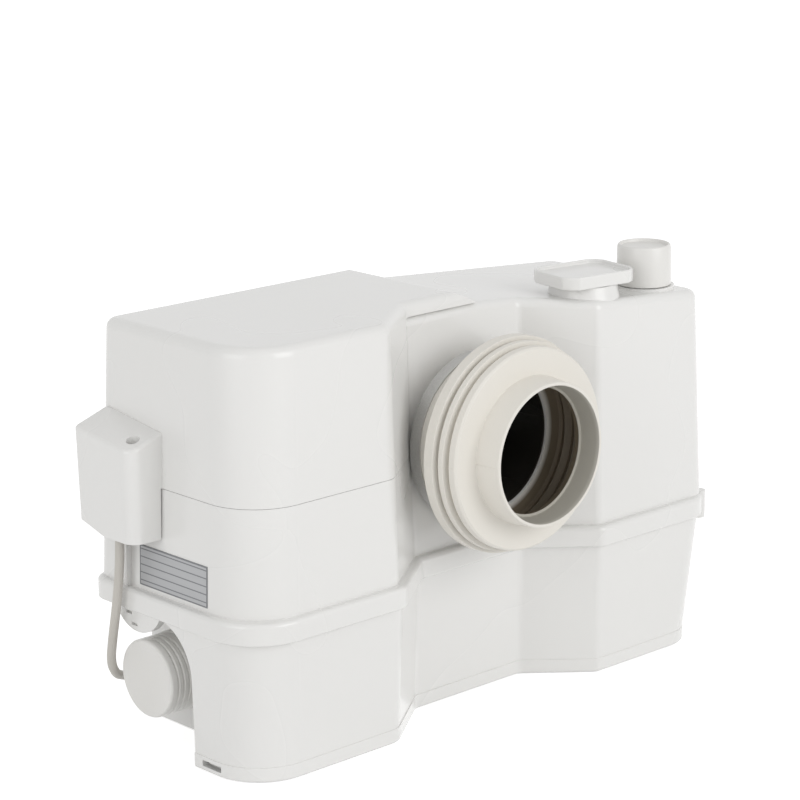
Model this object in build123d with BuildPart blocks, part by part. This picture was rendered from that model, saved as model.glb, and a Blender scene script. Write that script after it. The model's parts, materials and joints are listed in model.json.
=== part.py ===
from build123d import *
import math
import os

# Driving dimensions, in millimetres.
# The toilet inlet's axis is X = 0, the motor's axis is Y = 0, the floor is Z = 0.
left_reach = 227.5
right_reach = 207.0
front_reach = 79.0
rear_reach = 84.5
recess_depth = 36.0
recess_half_width = 47.5
left_shoulder = 97.0
right_shoulder = 89.5
wall = 3.0
flange_top = 108.0
flange_height = 14.5
plateau_height = 280.0
cover_height = 101.0
inlet_rise = 5.0
roof_drop = 9.5
roof_fall = 13.5
draft_angle = 1.7
overrun = 20.0

# Clearances and fits
seam_gap = 0.3
slip_gap = 0.4
running_gap = 0.05
air_gap = 0.8

# Shafts, cord and fasteners that several pieces share
shaft_radius = 6.0
cord_radius = 3.1
screw_radius = 2.0
screw_head_radius = 4.0
screw_head_height = 2.6

# The motor's and pump's common vertical axis
motor_inset = 115.5
motor_x = motor_inset - left_reach
motor_y = 0.0

tank_depth = front_reach + rear_reach
front = -front_reach
seam_height = plateau_height - cover_height
inlet_height = seam_height + inlet_rise
roof_height = plateau_height - roof_drop
roof_end_height = roof_height - roof_fall
recess_front = front + recess_depth
flange_bottom = flange_top - flange_height
motor_axis = (motor_x, motor_y)

BASE = (Align.CENTER, Align.CENTER, Align.MIN)

front_corner_radius = 38.0
shoulder_radius = 16.0
recess_foot_radius = 10.0
angle_edge_radius = 8.0
end_corner_radius = 24.0
rear_corner_radius = 14.0
wall_end_radius = 15.0
wall_rear_radius = 10.0
wall_end_stand = 4.8
wall_rear_stand = 5.0
lower_end_radius = 22.0
lower_end_stand = 2.1
foot_end_radius = 30.0
foot_end_drop = 2.0


def plan(end_stand, rear_stand, end_radius, rear_radius):
    """The tank's plan: its corners and their radii, for one right end and one rear."""
    end = right_reach + end_stand
    rear = rear_reach + rear_stand
    corners = [
        (-left_reach, front),
        (-left_shoulder, front),
        (-recess_half_width, recess_front),
        (recess_half_width, recess_front),
        (right_shoulder, front),
        (end, front),
        (end, rear),
        (-left_reach, rear),
    ]
    radii = [
        front_corner_radius,
        shoulder_radius,
        recess_foot_radius,
        angle_edge_radius,
        angle_edge_radius,
        end_radius,
        rear_radius,
        rear_radius,
    ]
    return corners, radii


band_plan = plan(0, 0, end_corner_radius, rear_corner_radius)
wall_plan = plan(wall_end_stand, wall_rear_stand, wall_end_radius, wall_rear_radius)
lower_plan = plan(lower_end_stand, 0, lower_end_radius, rear_corner_radius)
foot_plan = plan(-foot_end_drop, 0, foot_end_radius, rear_corner_radius)


def inset_corners(corners, inset):
    """Corners of a closed outline, its sides all moved inwards by one distance."""
    moved = []
    for index, here in enumerate(corners):
        before = Vector(*corners[index - 1])
        after = Vector(*corners[(index + 1) % len(corners)])
        here = Vector(*here)
        first = (here - before).normalized()
        second = (after - here).normalized()
        normals = Vector(-first.Y, first.X) + Vector(-second.Y, second.X)
        spread = 1 + first.dot(second)
        moved.append(here + normals * (inset / spread))
    return [(point.X, point.Y) for point in moved]


def tank_block(low, high, low_inset, high_inset, low_plan=wall_plan, high_plan=wall_plan):
    """Solid between two plans, the lower one drawn in by one inset and the upper by another."""
    with BuildPart() as block:
        for level, inset, (corners, radii) in (
            (low, low_inset, low_plan),
            (high, high_inset, high_plan),
        ):
            with BuildSketch(Plane.XY.offset(level)):
                with BuildLine():
                    FilletPolyline(*inset_corners(corners, inset), radius=radii, close=True)
                make_face()
        loft(ruled=True)
    return block.part


def side_slab(outline):
    """Solid of an outline in X and Z that runs right through the tank's depth."""
    with BuildPart() as slab:
        with BuildSketch(Plane.XZ):
            with BuildLine():
                Polyline(*outline, close=True)
            make_face()
        extrude(amount=tank_depth, both=True)
    return slab.part


def box_between(low, high):
    """Solid box between two corners."""
    size = [b - a for a, b in zip(low, high)]
    with BuildPart() as box:
        with Locations(tuple((a + b) / 2 for a, b in zip(low, high))):
            Box(*size)
    return box.part


def disc(radius, low, high, centre, mode=Mode.ADD):
    """Upright cylinder between two levels, in the part being built."""
    with Locations((centre[0], centre[1], low)):
        Cylinder(radius, high - low, align=BASE, mode=mode)


def ring(outer, inner, low, high, centre):
    """Upright tube between two levels, as a solid of its own."""
    with BuildPart() as tube:
        disc(outer, low, high, centre)
        disc(inner, low, high, centre, mode=Mode.SUBTRACT)
    return tube.part


def wall_inset(level):
    """Inset of the upper walls' outer face at one level."""
    return upper_inset + (level - flange_top) * math.tan(math.radians(draft_angle))


def roof_at(x):
    """Height of the right-hand roof at one place along the tank."""
    return roof_height - roof_slope * (x - step_foot)


# Upper walls and the step where the motor cover's roof ends
upper_inset = 6.0
step_head = -6.0
step_foot = 13.0
roof_slope = (roof_height - roof_end_height) / (right_reach - overrun - step_foot)
cover_edge_inset = 5.0
cover_edge = -recess_half_width - cover_edge_inset

# Lower tank: base with a foot rim, a flange band round its top and a notch at the left end
foot_inset = 6.4
foot_rim_height = 10.0
foot_rim_stand = 0.9
under_flange_inset = 3.6
tank_floor = 4.0
notch_length = 46.5
notch_x = notch_length - left_reach
notch_front = -14.0
notch_arch_radius = 34.0
notch_ceiling = flange_bottom - 2 * seam_gap
fixing_slot_length = 18.0
fixing_slot_height = 4.0
fixing_slot_low = 3.5
fixing_slot_centre = -31.0
fixing_slot_depth = 9.0
end_lug_low = 88.0
end_lug_height = 19.9
end_lug_radius = 4.5
end_lug_inset = 1.8
end_lug_place = (right_reach - end_lug_inset, -64.9)
tongue_inset = 3.0
tongue_thickness = 5.8
tongue_low = 79.0
tongue_radius = 25.5
tongue_y = 38.0
tongue_face = tongue_inset - left_reach
tongue_slots = [(47.0, 90.6), (41.5, 83.5)]
tongue_slot_length = 6.0
tongue_slot_height = 2.0
tongue_slot_depth = 2.5
foot_round = 2.0
flange_round = 3.0
flange_under_round = 1.2
side_inlet_y = 33.0
side_inlet_z = 47.7
side_bore_radius = 19.0
side_spigot_radius = 22.0
rim_margin = 2.0
rim_inset = upper_inset + wall + rim_margin
seal_height = 2.0
seal_width = 2.2
seal_inset = upper_inset + slip_gap


def notch_solid(grow):
    """The notch's space, its side faces all moved outwards by one distance."""
    depth = notch_x + grow + left_reach + overrun
    with BuildPart() as notch:
        with BuildSketch(Plane.YZ.offset(notch_x + grow)):
            with BuildLine():
                Polyline(
                    (notch_front - grow, -overrun),
                    (rear_reach + overrun, -overrun),
                    (rear_reach + overrun, notch_ceiling + grow),
                    (notch_front - grow, notch_ceiling + grow),
                    close=True,
                )
            make_face()
        extrude(amount=-depth)
        arch_edge = notch.edges().filter_by(Axis.X).group_by(Axis.Y)[0].sort_by(Axis.Z)[-1]
        fillet(arch_edge, notch_arch_radius + grow)
    return notch.part


rim_inset_below = foot_inset - foot_rim_stand
tank_outside = tank_block(
    0, flange_bottom, foot_inset, under_flange_inset, foot_plan, lower_plan
)
foot_rim = tank_block(
    0, foot_rim_height, rim_inset_below, rim_inset_below, foot_plan, foot_plan
)
tank_inside = tank_block(
    tank_floor, flange_bottom, foot_inset + wall, under_flange_inset + wall, foot_plan, lower_plan
)
flange_mouth = tank_block(flange_bottom - wall, flange_top, rim_inset, rim_inset)
seal_shape = tank_block(flange_top - seal_height, flange_top, seal_inset, seal_inset) - tank_block(
    flange_top - seal_height, flange_top, seal_inset + seal_width, seal_inset + seal_width
)
notch_space = notch_solid(0)
notch_with_wall = notch_solid(wall)

with BuildPart() as lower_tank:
    with BuildSketch(Plane.XY.offset(flange_bottom)):
        with BuildLine():
            FilletPolyline(*band_plan[0], radius=band_plan[1], close=True)
        make_face()
    extrude(amount=flange_height)
    fillet(lower_tank.faces().sort_by(Axis.Z)[-1].edges(), flange_round)
    fillet(lower_tank.faces().sort_by(Axis.Z)[0].edges(), flange_under_round)
    add(tank_outside)
    add(foot_rim)
    fillet(lower_tank.faces().sort_by(Axis.Z)[0].edges(), foot_round)
    add(notch_space, mode=Mode.SUBTRACT)
    disc(end_lug_radius, end_lug_low, end_lug_low + end_lug_height, end_lug_place)
    add((tank_inside + flange_mouth) - notch_with_wall, mode=Mode.SUBTRACT)
    add(seal_shape, mode=Mode.SUBTRACT)
    with Locations(Location((notch_x, side_inlet_y, side_inlet_z), (0, 90, 0))):
        Cylinder(side_bore_radius + seam_gap, overrun, mode=Mode.SUBTRACT)
    with Locations(
        (-left_reach + foot_inset, fixing_slot_centre, fixing_slot_low + fixing_slot_height / 2)
    ):
        Box(
            fixing_slot_depth,
            fixing_slot_length,
            fixing_slot_height,
            mode=Mode.SUBTRACT,
        )
    with BuildSketch(Plane.YZ.offset(tongue_face)):
        with Locations((tongue_y, tongue_low + tongue_radius)):
            Circle(tongue_radius)
        with Locations((tongue_y, flange_bottom + flange_round)):
            Rectangle(
                2 * tongue_radius,
                2 * (flange_bottom + flange_round - tongue_low),
                mode=Mode.INTERSECT,
            )
        with Locations((tongue_y, flange_bottom + flange_round)):
            Rectangle(
                2 * tongue_radius,
                2 * tongue_radius,
                align=(Align.CENTER, Align.MIN),
                mode=Mode.SUBTRACT,
            )
    extrude(amount=tongue_thickness)
    for slot_y, slot_z in tongue_slots:
        with Locations((tongue_face, slot_y, slot_z)):
            Box(
                2 * tongue_slot_depth,
                tongue_slot_length,
                tongue_slot_height,
                mode=Mode.SUBTRACT,
            )

# Housing seal: a rubber ring in the groove of the tank's flange
with BuildPart() as housing_seal:
    add(seal_shape)

# Upper housing: wet room on the right, a deck that carries the motor on the left
deck_thickness = 4.0
top_level = plateau_height + overrun
socket_outer_radius = 50.0
socket_wall = 3.5
socket_front = -62.0
socket_back = -18.0
lip_height = 5.0
lip_width = 2.0
carrier_hole_radius = 24.0

upper_walls = tank_block(flange_top, top_level, wall_inset(flange_top), wall_inset(top_level))
upper_room = tank_block(
    flange_top - overrun,
    top_level,
    wall_inset(flange_top - overrun) + wall,
    wall_inset(top_level) + wall,
)
right_side = right_reach + overrun
left_side = -left_reach - overrun
housing_profile = side_slab(
    [
        (left_side, flange_top),
        (right_side, flange_top),
        (right_side, roof_at(right_side)),
        (step_foot, roof_height),
        (cover_edge, roof_height),
        (cover_edge, seam_height),
        (left_side, seam_height),
    ]
)
housing_hollow = side_slab(
    [
        (left_side, flange_top - overrun),
        (right_side, flange_top - overrun),
        (right_side, roof_at(right_side) - wall),
        (step_foot, roof_height - wall),
        (cover_edge + wall, roof_height - wall),
        (cover_edge + wall, seam_height - deck_thickness),
        (left_side, seam_height - deck_thickness),
    ]
)

# Discharge socket under the lid, and the top inlet's spigot, both on the right-hand roof
discharge_centre = (107.0, -41.0)
discharge_rise = 1.5
discharge_depth = 22.0
discharge_top = roof_height + discharge_rise
discharge_bottom = discharge_top - discharge_depth
discharge_outer_radius = 21.0
discharge_bore_radius = 17.0
discharge_bore_depth = 12.0
discharge_neck_bore = 16.0
discharge_collar_rise = 4.0
discharge_collar_radius = 20.0
discharge_collar_top = discharge_top + discharge_collar_rise
boss_foot_radius = 25.5
boss_foot_depth = 4.5
boss_head_radius = 23.0
top_pipe_centre = (171.0, -38.8)
top_pad_radius = 21.5
top_pad_stand = 3.5
top_pad_depth = 9.0
top_pad_height = roof_end_height + top_pad_stand
top_spigot_radius = 16.5
top_bore_radius = 13.5
top_spigot_length = 23.5
top_spigot_drop = 14.5
top_spigot_height = top_pad_height + top_spigot_length
top_spigot_bottom = top_pad_height - top_spigot_drop
roof_round = 6.0

with BuildPart() as discharge_boss:
    with BuildSketch(Plane.XY.offset(roof_at(discharge_centre[0]) - boss_foot_depth)):
        with Locations(discharge_centre):
            Circle(boss_foot_radius)
    with BuildSketch(Plane.XY.offset(discharge_top)):
        with Locations(discharge_centre):
            Circle(boss_head_radius)
    loft()
    add(upper_walls, mode=Mode.INTERSECT)

with BuildPart() as top_pad:
    disc(top_pad_radius, top_pad_height - top_pad_depth, top_pad_height, top_pipe_centre)
    add(upper_walls, mode=Mode.INTERSECT)

# Blocks on the housing's left wall: the mains lead's entry and the cover screw's post
gland_stand = 5.5
gland_drop = 13.0
gland_height = 12.0
gland_x = -left_reach - gland_stand
gland_y = 43.0
gland_low = seam_height - gland_drop
gland_high = gland_low + gland_height
gland_width = 16.0
gland_reach = 7.0
gland_bore_radius = 4.5
cover_screw_stand = 6.5
cover_screw_place = (-left_reach - cover_screw_stand, 25.0)
screw_post_width = 11.0
screw_hole_radius = screw_radius + slip_gap
deck_hole_radius = 5.0
lead_rib_front = 47.5
lead_rib_width = 2.5
lead_rib_reach = 5.0
switch_offset = 72.0
vent_offset = 83.0
switch_centre = (motor_x - switch_offset, -38.0)
vent_centre = (motor_x - vent_offset, 48.0)

lip_outside = tank_block(
    seam_height,
    seam_height + lip_height,
    wall_inset(seam_height) + wall + slip_gap,
    wall_inset(seam_height + lip_height) + wall + slip_gap,
)
lip_inside = tank_block(
    seam_height,
    seam_height + lip_height,
    wall_inset(seam_height) + wall + slip_gap + lip_width,
    wall_inset(seam_height + lip_height) + wall + slip_gap + lip_width,
)
lip_room = box_between(
    (left_side, front, seam_height),
    (cover_edge, rear_reach, seam_height + lip_height),
)
locating_lip = (lip_outside - lip_inside) & lip_room

wall_at_gland = -left_reach + wall_inset(gland_low)

with BuildPart() as upper_housing:
    add(upper_walls)
    add(housing_profile, mode=Mode.INTERSECT)
    sloped_roof = upper_housing.faces().filter_by(Plane.XY, reverse=True).sort_by(Axis.Z)[-1]
    fillet(
        [edge for edge in sloped_roof.edges() if edge.center().X > step_foot + wall], roof_round
    )
    add(discharge_boss.part)
    add(top_pad.part)
    add(upper_room & housing_hollow, mode=Mode.SUBTRACT)
    add(locating_lip)
    with Locations(Location((0, socket_front, inlet_height), (-90, 0, 0))):
        Cylinder(socket_outer_radius, socket_back - socket_front, align=BASE)
        Cylinder(
            socket_outer_radius - socket_wall,
            socket_back - socket_front,
            align=BASE,
            mode=Mode.SUBTRACT,
        )
    disc(discharge_outer_radius, discharge_bottom, discharge_top, discharge_centre)
    disc(discharge_collar_radius, discharge_bottom, discharge_collar_top, discharge_centre)
    disc(discharge_neck_bore, discharge_bottom, discharge_top, discharge_centre, Mode.SUBTRACT)
    disc(
        discharge_bore_radius,
        discharge_top - discharge_bore_depth,
        discharge_collar_top,
        discharge_centre,
        Mode.SUBTRACT,
    )
    disc(top_spigot_radius, top_spigot_bottom, top_spigot_height, top_pipe_centre)
    disc(top_bore_radius, top_spigot_bottom, top_spigot_height, top_pipe_centre, Mode.SUBTRACT)
    disc(
        carrier_hole_radius,
        seam_height - deck_thickness,
        seam_height,
        motor_axis,
        Mode.SUBTRACT,
    )
    for place in (switch_centre, vent_centre):
        disc(deck_hole_radius, seam_height - deck_thickness, seam_height, place, Mode.SUBTRACT)
    add(
        box_between(
            (gland_x - gland_reach, gland_y - gland_width / 2, gland_low),
            (wall_at_gland + wall / 2, gland_y + gland_width / 2, gland_high),
        )
    )
    disc(gland_bore_radius, gland_low, gland_high, (gland_x, gland_y), Mode.SUBTRACT)
    add(
        box_between(
            (gland_x - gland_reach, cover_screw_place[1] - screw_post_width / 2, gland_low),
            (wall_at_gland + wall / 2, cover_screw_place[1] + screw_post_width / 2, gland_high),
        )
    )
    disc(screw_hole_radius, gland_low, gland_high, cover_screw_place, Mode.SUBTRACT)
    add(
        box_between(
            (wall_at_gland - lead_rib_reach, lead_rib_front, flange_top),
            (wall_at_gland + wall / 2, lead_rib_front + lead_rib_width, gland_low),
        )
    )

# Motor cover: shell over the dry room, with a hood over the mains lead's entry
cover_foot = seam_height + seam_gap
cover_round = 7.0
hood_stand = 18.5
hood_drop = 33.0
hood_outer_height = 62.0
hood_inner_height = 71.0
hood_rise_start = 45.0
hood_rise = 8.0
hood_outer_x = -left_reach - hood_stand
hood_front_y = 15.0
hood_rear_y = 73.0
hood_bottom = seam_height - hood_drop
hood_top_outer = hood_bottom + hood_outer_height
hood_top_inner = hood_bottom + hood_inner_height
hood_tilt = 7.7
hood_taper = 2.0
hood_corner_radius = 9.0
hood_rear_radius = 4.0
hood_wall = 2.5
hood_round = 2.5
hood_slot_gap = 1.2
screw_boss_radius = 6.0
screw_seat_depth = 5.0
screw_seat = hood_top_outer - screw_seat_depth
screw_length = 36.0
screw_slot_width = 1.2
lead_door_rise = 34.0
lead_door_height = seam_height + lead_door_rise
hood_tilt_rise = (hood_rear_y - cover_screw_place[1]) * math.tan(math.radians(hood_tilt))

cover_profile = side_slab(
    [
        (left_side, cover_foot),
        (cover_edge - seam_gap, cover_foot),
        (cover_edge - seam_gap, roof_height + seam_gap),
        (step_foot, roof_height + seam_gap),
        (step_head, plateau_height),
        (left_side, plateau_height),
    ]
)
cover_hollow = side_slab(
    [
        (left_side, cover_foot - overrun),
        (cover_edge + overrun, cover_foot - overrun),
        (cover_edge + overrun, roof_height + seam_gap - overrun),
        (step_head - wall, roof_height + seam_gap - overrun),
        (step_head - wall, plateau_height - wall),
        (left_side, plateau_height - wall),
    ]
)


def hood_solid(shrink, low, high_outer, high_inner, reach):
    """The hood's body, drawn in by one wall, under a top that slopes up to the wall and the rear."""
    outer = hood_outer_x + shrink
    high = high_inner + hood_tilt_rise + overrun
    with BuildPart() as hood:
        for level, taper in ((low, hood_taper), (high, 0)):
            with BuildSketch(Plane.XY.offset(level)):
                with BuildLine():
                    FilletPolyline(
                        (reach, hood_front_y + shrink),
                        (reach, hood_rear_y - shrink - taper),
                        (outer + taper, hood_rear_y - shrink - taper),
                        (outer + taper, hood_front_y + shrink),
                        radius=[0, 0, hood_rear_radius, hood_corner_radius - shrink],
                        close=True,
                    )
                make_face()
        loft(ruled=True)
    wall_x = -left_reach + wall_inset(high_inner)
    slope = (high_inner - high_outer) / (wall_x - hood_outer_x)
    over = side_slab(
        [
            (hood_outer_x - overrun, high_outer - slope * overrun),
            (reach + overrun, high_outer + slope * (reach + overrun - hood_outer_x)),
            (reach + overrun, high + hood_tilt_rise + overrun),
            (hood_outer_x - overrun, high + hood_tilt_rise + overrun),
        ]
    )
    tilt_axis = Axis((0, cover_screw_place[1], high_outer), (1, 0, 0))
    return hood.part - over.rotate(tilt_axis, hood_tilt)


cover_wall_x = -left_reach + wall_inset(seam_height)
hood_body = hood_solid(0, hood_bottom, hood_top_outer, hood_top_inner, cover_wall_x + wall)
hood_room = hood_solid(
    hood_wall,
    hood_bottom - overrun,
    hood_top_outer - hood_wall,
    hood_top_inner - hood_wall,
    cover_wall_x + 2 * wall,
)
housing_keep_out = tank_block(
    flange_top, cover_foot, upper_inset - hood_slot_gap, wall_inset(cover_foot) - hood_slot_gap
)

with BuildPart() as cover_shell:
    add(upper_walls)
    add(cover_profile, mode=Mode.INTERSECT)
    fillet(cover_shell.faces().sort_by(Axis.Z)[-1].edges(), cover_round)
    add(upper_room & cover_hollow, mode=Mode.SUBTRACT)

with BuildPart() as screw_boss:
    disc(screw_boss_radius, gland_high + seam_gap, hood_top_inner, cover_screw_place)
    add(hood_body, mode=Mode.INTERSECT)

with BuildPart() as hood_relief:
    with BuildSketch(Plane.YZ.offset(hood_outer_x - overrun)):
        with BuildLine():
            Polyline(
                (hood_rise_start, hood_bottom),
                (hood_rear_y, hood_bottom + hood_rise),
                (hood_rear_y + overrun, hood_bottom + hood_rise),
                (hood_rear_y + overrun, hood_bottom - overrun),
                (hood_rise_start, hood_bottom - overrun),
                close=True,
            )
        make_face()
    extrude(amount=hood_stand + 2 * overrun)

with BuildPart() as hood_shell:
    add(hood_body)
    fillet(hood_shell.faces().sort_by(Axis.Z)[-1].edges(), hood_round)
    add(hood_room, mode=Mode.SUBTRACT)
    add(housing_keep_out, mode=Mode.SUBTRACT)
    add(hood_relief.part, mode=Mode.SUBTRACT)
    add(screw_boss.part)

with BuildPart() as motor_cover:
    add(cover_shell.part)
    add(hood_shell.part)
    add(
        box_between(
            (gland_x + gland_reach, gland_y - gland_width / 2, cover_foot - overrun),
            (cover_wall_x + wall + overrun, gland_y + gland_width / 2, lead_door_height),
        ),
        mode=Mode.SUBTRACT,
    )
    disc(screw_hole_radius, hood_bottom, hood_top_inner, cover_screw_place, Mode.SUBTRACT)
    disc(
        screw_head_radius + slip_gap,
        screw_seat,
        hood_top_inner + overrun,
        cover_screw_place,
        Mode.SUBTRACT,
    )

# Cover screw: it goes down through the hood into the post beside the lead's entry
with BuildPart() as cover_screw:
    disc(screw_head_radius, screw_seat, screw_seat + screw_head_height, cover_screw_place)
    disc(screw_radius, screw_seat - screw_length, screw_seat, cover_screw_place)
    with Locations((*cover_screw_place, screw_seat + screw_head_height)):
        Box(2 * screw_head_radius, screw_slot_width, screw_slot_width, mode=Mode.SUBTRACT)

# Inlet sleeve: rubber connector turned about the toilet inlet's axis
sleeve_mouth = -114.2
sleeve_mouth_radius = 48.1
sleeve_bore_radius = 43.5
sleeve_tube_foot_radius = 51.0
shoulder_front = -95.0
shoulder_back = -88.5
shoulder_disc_radius = 68.0
groove_radius = 64.0
ridge_radius = 70.8
ridge_front = -85.5
ridge_back = -81.5
big_ring_front = -78.5
big_ring_back = -70.5
big_ring_radius = 73.3
hub_radius = 66.0
hub_foot_radius = 57.0
hub_foot = -54.0
sleeve_back = -41.5
sleeve_wall = 4.0
fold_radius = 60.0
lip_radius = 40.5
lip_front = -100.0
lip_back = -97.0
seat_front = socket_front - seam_gap
edge_round = 1.2

sleeve_outline = [
    (sleeve_bore_radius, sleeve_mouth),
    (sleeve_mouth_radius, sleeve_mouth),
    (sleeve_tube_foot_radius, shoulder_front - sleeve_wall),
    (sleeve_tube_foot_radius + sleeve_wall, shoulder_front),
    (shoulder_disc_radius, shoulder_front),
    (shoulder_disc_radius, shoulder_back),
    (groove_radius, shoulder_back),
    (groove_radius, ridge_front),
    (ridge_radius, ridge_front),
    (ridge_radius, ridge_back),
    (groove_radius, ridge_back),
    (groove_radius, big_ring_front),
    (big_ring_radius, big_ring_front),
    (big_ring_radius, big_ring_back),
    (hub_radius, big_ring_back),
    (hub_foot_radius, hub_foot),
    (hub_foot_radius, sleeve_back),
    (socket_outer_radius, sleeve_back),
    (socket_outer_radius, seat_front),
    (fold_radius, seat_front - sleeve_wall),
    (fold_radius, shoulder_front + sleeve_wall),
    (sleeve_bore_radius, lip_back + sleeve_wall),
    (sleeve_bore_radius, lip_back),
    (lip_radius, lip_back),
    (lip_radius, lip_front),
    (sleeve_bore_radius, lip_front),
]
inlet_plane = Plane((0, 0, inlet_height))
inlet_axis = Axis((0, 0, inlet_height), (0, 1, 0))
with BuildPart() as inlet_sleeve:
    with BuildSketch(inlet_plane):
        with BuildLine():
            Polyline(*sleeve_outline, close=True)
        make_face()
    revolve(axis=inlet_axis)
    outer_edges = [
        edge
        for edge in inlet_sleeve.edges().filter_by(GeomType.CIRCLE)
        if edge.radius > hub_radius + edge_round
    ]
    fillet(outer_edges, edge_round)

# Band that clamps the sleeve's hub to the housing's socket
band_front = -51.0
band_width = 9.0
band_thickness = 1.2
band_screw_radius = 3.6
band_screw_length = 16.0
band_middle = band_front + band_width / 2
band_screw_z = inlet_height - hub_foot_radius - band_thickness - band_screw_radius / 2
with BuildPart() as sleeve_band:
    with Locations(Location((0, band_front, inlet_height), (-90, 0, 0))):
        Cylinder(hub_foot_radius + band_thickness, band_width, align=BASE)
    with Locations(Location((0, band_middle, band_screw_z), (0, 90, 0))):
        Cylinder(band_screw_radius, band_screw_length)
    with Locations(Location((0, band_front, inlet_height), (-90, 0, 0))):
        Cylinder(hub_foot_radius, band_width, align=BASE, mode=Mode.SUBTRACT)


def along_x(radius, start, end, place, mode=Mode.ADD):
    """Level cylinder along X between two places, in the part being built."""
    with Locations(Location((min(start, end), *place), (0, 90, 0))):
        Cylinder(radius, abs(end - start), align=BASE, mode=mode)


# Side inlet: spigot through the notch's wall, with its seal, cap and flap
side_axis = (side_inlet_y, side_inlet_z)
side_flange_radius = 26.0
side_flange_thickness = 3.5
spigot_inside = 6.5
cap_inset = 5.0
cap_face_x = cap_inset - left_reach
cap_length = 27.0
cap_radius = 26.2
cap_collar_radius = 26.8
cap_collar_width = 5.0
cap_thickness = 3.0
cap_groove_count = 3
cap_groove_radius = 0.7
cap_groove_start = 6.0
cap_groove_pitch = 4.5
cap_round = 1.8
cap_dish_radius = 21.0
cap_dish_depth = 0.8
seal_ring_radius = 1.4
seal_ring_inset = 9.0
flap_radius = 18.5
flap_thickness = 2.5
flap_pin_radius = 1.5
flap_ear_width = 10.0
flap_ear_radius = 3.0
lug_width = 3.0
lug_low = 67.0
lug_high = 73.2
lug_reach = 6.5
flap_gap = 0.3
spigot_tip_x = cap_face_x + cap_thickness + slip_gap
flap_seat_x = notch_x + wall + spigot_inside
flap_pin_x = flap_seat_x + flap_ear_radius + flap_gap
flap_pin_z = (lug_low + lug_high) / 2
seal_x = spigot_tip_x + seal_ring_inset
cap_back_x = cap_face_x + cap_length
lug_block_width = flap_ear_width + 2 * (lug_width + slip_gap)
lug_block_low = side_inlet_z + side_bore_radius - wall / 2
lug_middle = (flap_ear_width + lug_width) / 2 + slip_gap

with BuildPart() as side_spigot:
    along_x(side_flange_radius, notch_x - side_flange_thickness, notch_x, side_axis)
    along_x(side_spigot_radius, spigot_tip_x, notch_x, side_axis)
    along_x(side_bore_radius, notch_x, flap_seat_x, side_axis)
    add(
        box_between(
            (notch_x + wall + flap_gap, side_inlet_y - lug_block_width / 2, lug_block_low - wall),
            (flap_seat_x, side_inlet_y + lug_block_width / 2, lug_high),
        )
    )
    for side in (-1, 1):
        lug_y = side_inlet_y + side * lug_middle
        add(
            box_between(
                (flap_seat_x, lug_y - lug_width / 2, lug_low),
                (flap_seat_x + lug_reach, lug_y + lug_width / 2, lug_high),
            )
        )
    along_x(side_bore_radius - wall, spigot_tip_x, flap_seat_x, side_axis, Mode.SUBTRACT)
    with Locations(Location((seal_x, *side_axis), (0, 90, 0))):
        Torus(side_spigot_radius, seal_ring_radius, mode=Mode.SUBTRACT)
    with Locations(Location((flap_pin_x, side_inlet_y, flap_pin_z), (90, 0, 0))):
        Cylinder(flap_pin_radius, lug_block_width, mode=Mode.SUBTRACT)

with BuildPart() as side_seal:
    with Locations(Location((seal_x, *side_axis), (0, 90, 0))):
        Torus(side_spigot_radius, seal_ring_radius)
    along_x(
        side_spigot_radius + slip_gap - seam_gap / 2,
        seal_x - 2 * seal_ring_radius,
        seal_x + 2 * seal_ring_radius,
        side_axis,
        Mode.INTERSECT,
    )

with BuildPart() as side_cap:
    along_x(cap_radius, cap_face_x, cap_back_x, side_axis)
    fillet(side_cap.faces().sort_by(Axis.X)[0].edges(), cap_round)
    along_x(cap_collar_radius, cap_back_x - cap_collar_width, cap_back_x, side_axis)
    for groove in range(cap_groove_count):
        groove_x = cap_face_x + cap_groove_start + groove * cap_groove_pitch
        with Locations(Location((groove_x, *side_axis), (0, 90, 0))):
            Torus(cap_radius, cap_groove_radius, mode=Mode.SUBTRACT)
    along_x(cap_dish_radius, cap_face_x, cap_face_x + cap_dish_depth, side_axis, Mode.SUBTRACT)
    along_x(
        side_spigot_radius + slip_gap, cap_face_x + cap_thickness, cap_back_x, side_axis, Mode.SUBTRACT
    )

with BuildPart() as side_flap:
    along_x(flap_radius, flap_seat_x + flap_gap, flap_seat_x + flap_gap + flap_thickness, side_axis)
    add(
        box_between(
            (flap_seat_x + flap_gap, side_inlet_y - flap_ear_width / 2, side_inlet_z),
            (flap_seat_x + flap_gap + flap_thickness, side_inlet_y + flap_ear_width / 2, flap_pin_z),
        )
    )
    with Locations(Location((flap_pin_x, side_inlet_y, flap_pin_z), (90, 0, 0))):
        Cylinder(flap_ear_radius, flap_ear_width)
        Cylinder(flap_pin_radius + running_gap, flap_ear_width, mode=Mode.SUBTRACT)

with BuildPart() as side_flap_pin:
    with Locations(Location((flap_pin_x, side_inlet_y, flap_pin_z), (90, 0, 0))):
        Cylinder(flap_pin_radius, lug_block_width)

# Top inlet's cap, pushed over its spigot
top_cap_radius = 19.4
top_cap_rise = 5.4
top_cap_high = top_spigot_height + top_cap_rise
top_cap_thickness = 3.2
top_cap_round = 1.6
top_cap_dish = 1.4
top_cap_low = top_pad_height + seam_gap
top_cap_play = 0.7
with BuildPart() as top_cap:
    disc(top_cap_radius, top_cap_low, top_cap_high, top_pipe_centre)
    chamfer(top_cap.faces().sort_by(Axis.Z)[-1].edges(), top_cap_round)
    disc(
        top_spigot_radius,
        top_cap_high - top_cap_dish,
        top_cap_high,
        top_pipe_centre,
        Mode.SUBTRACT,
    )
    disc(
        top_spigot_radius + top_cap_play,
        top_cap_low,
        top_cap_high - top_cap_dish - top_cap_thickness,
        top_pipe_centre,
        Mode.SUBTRACT,
    )

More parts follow.
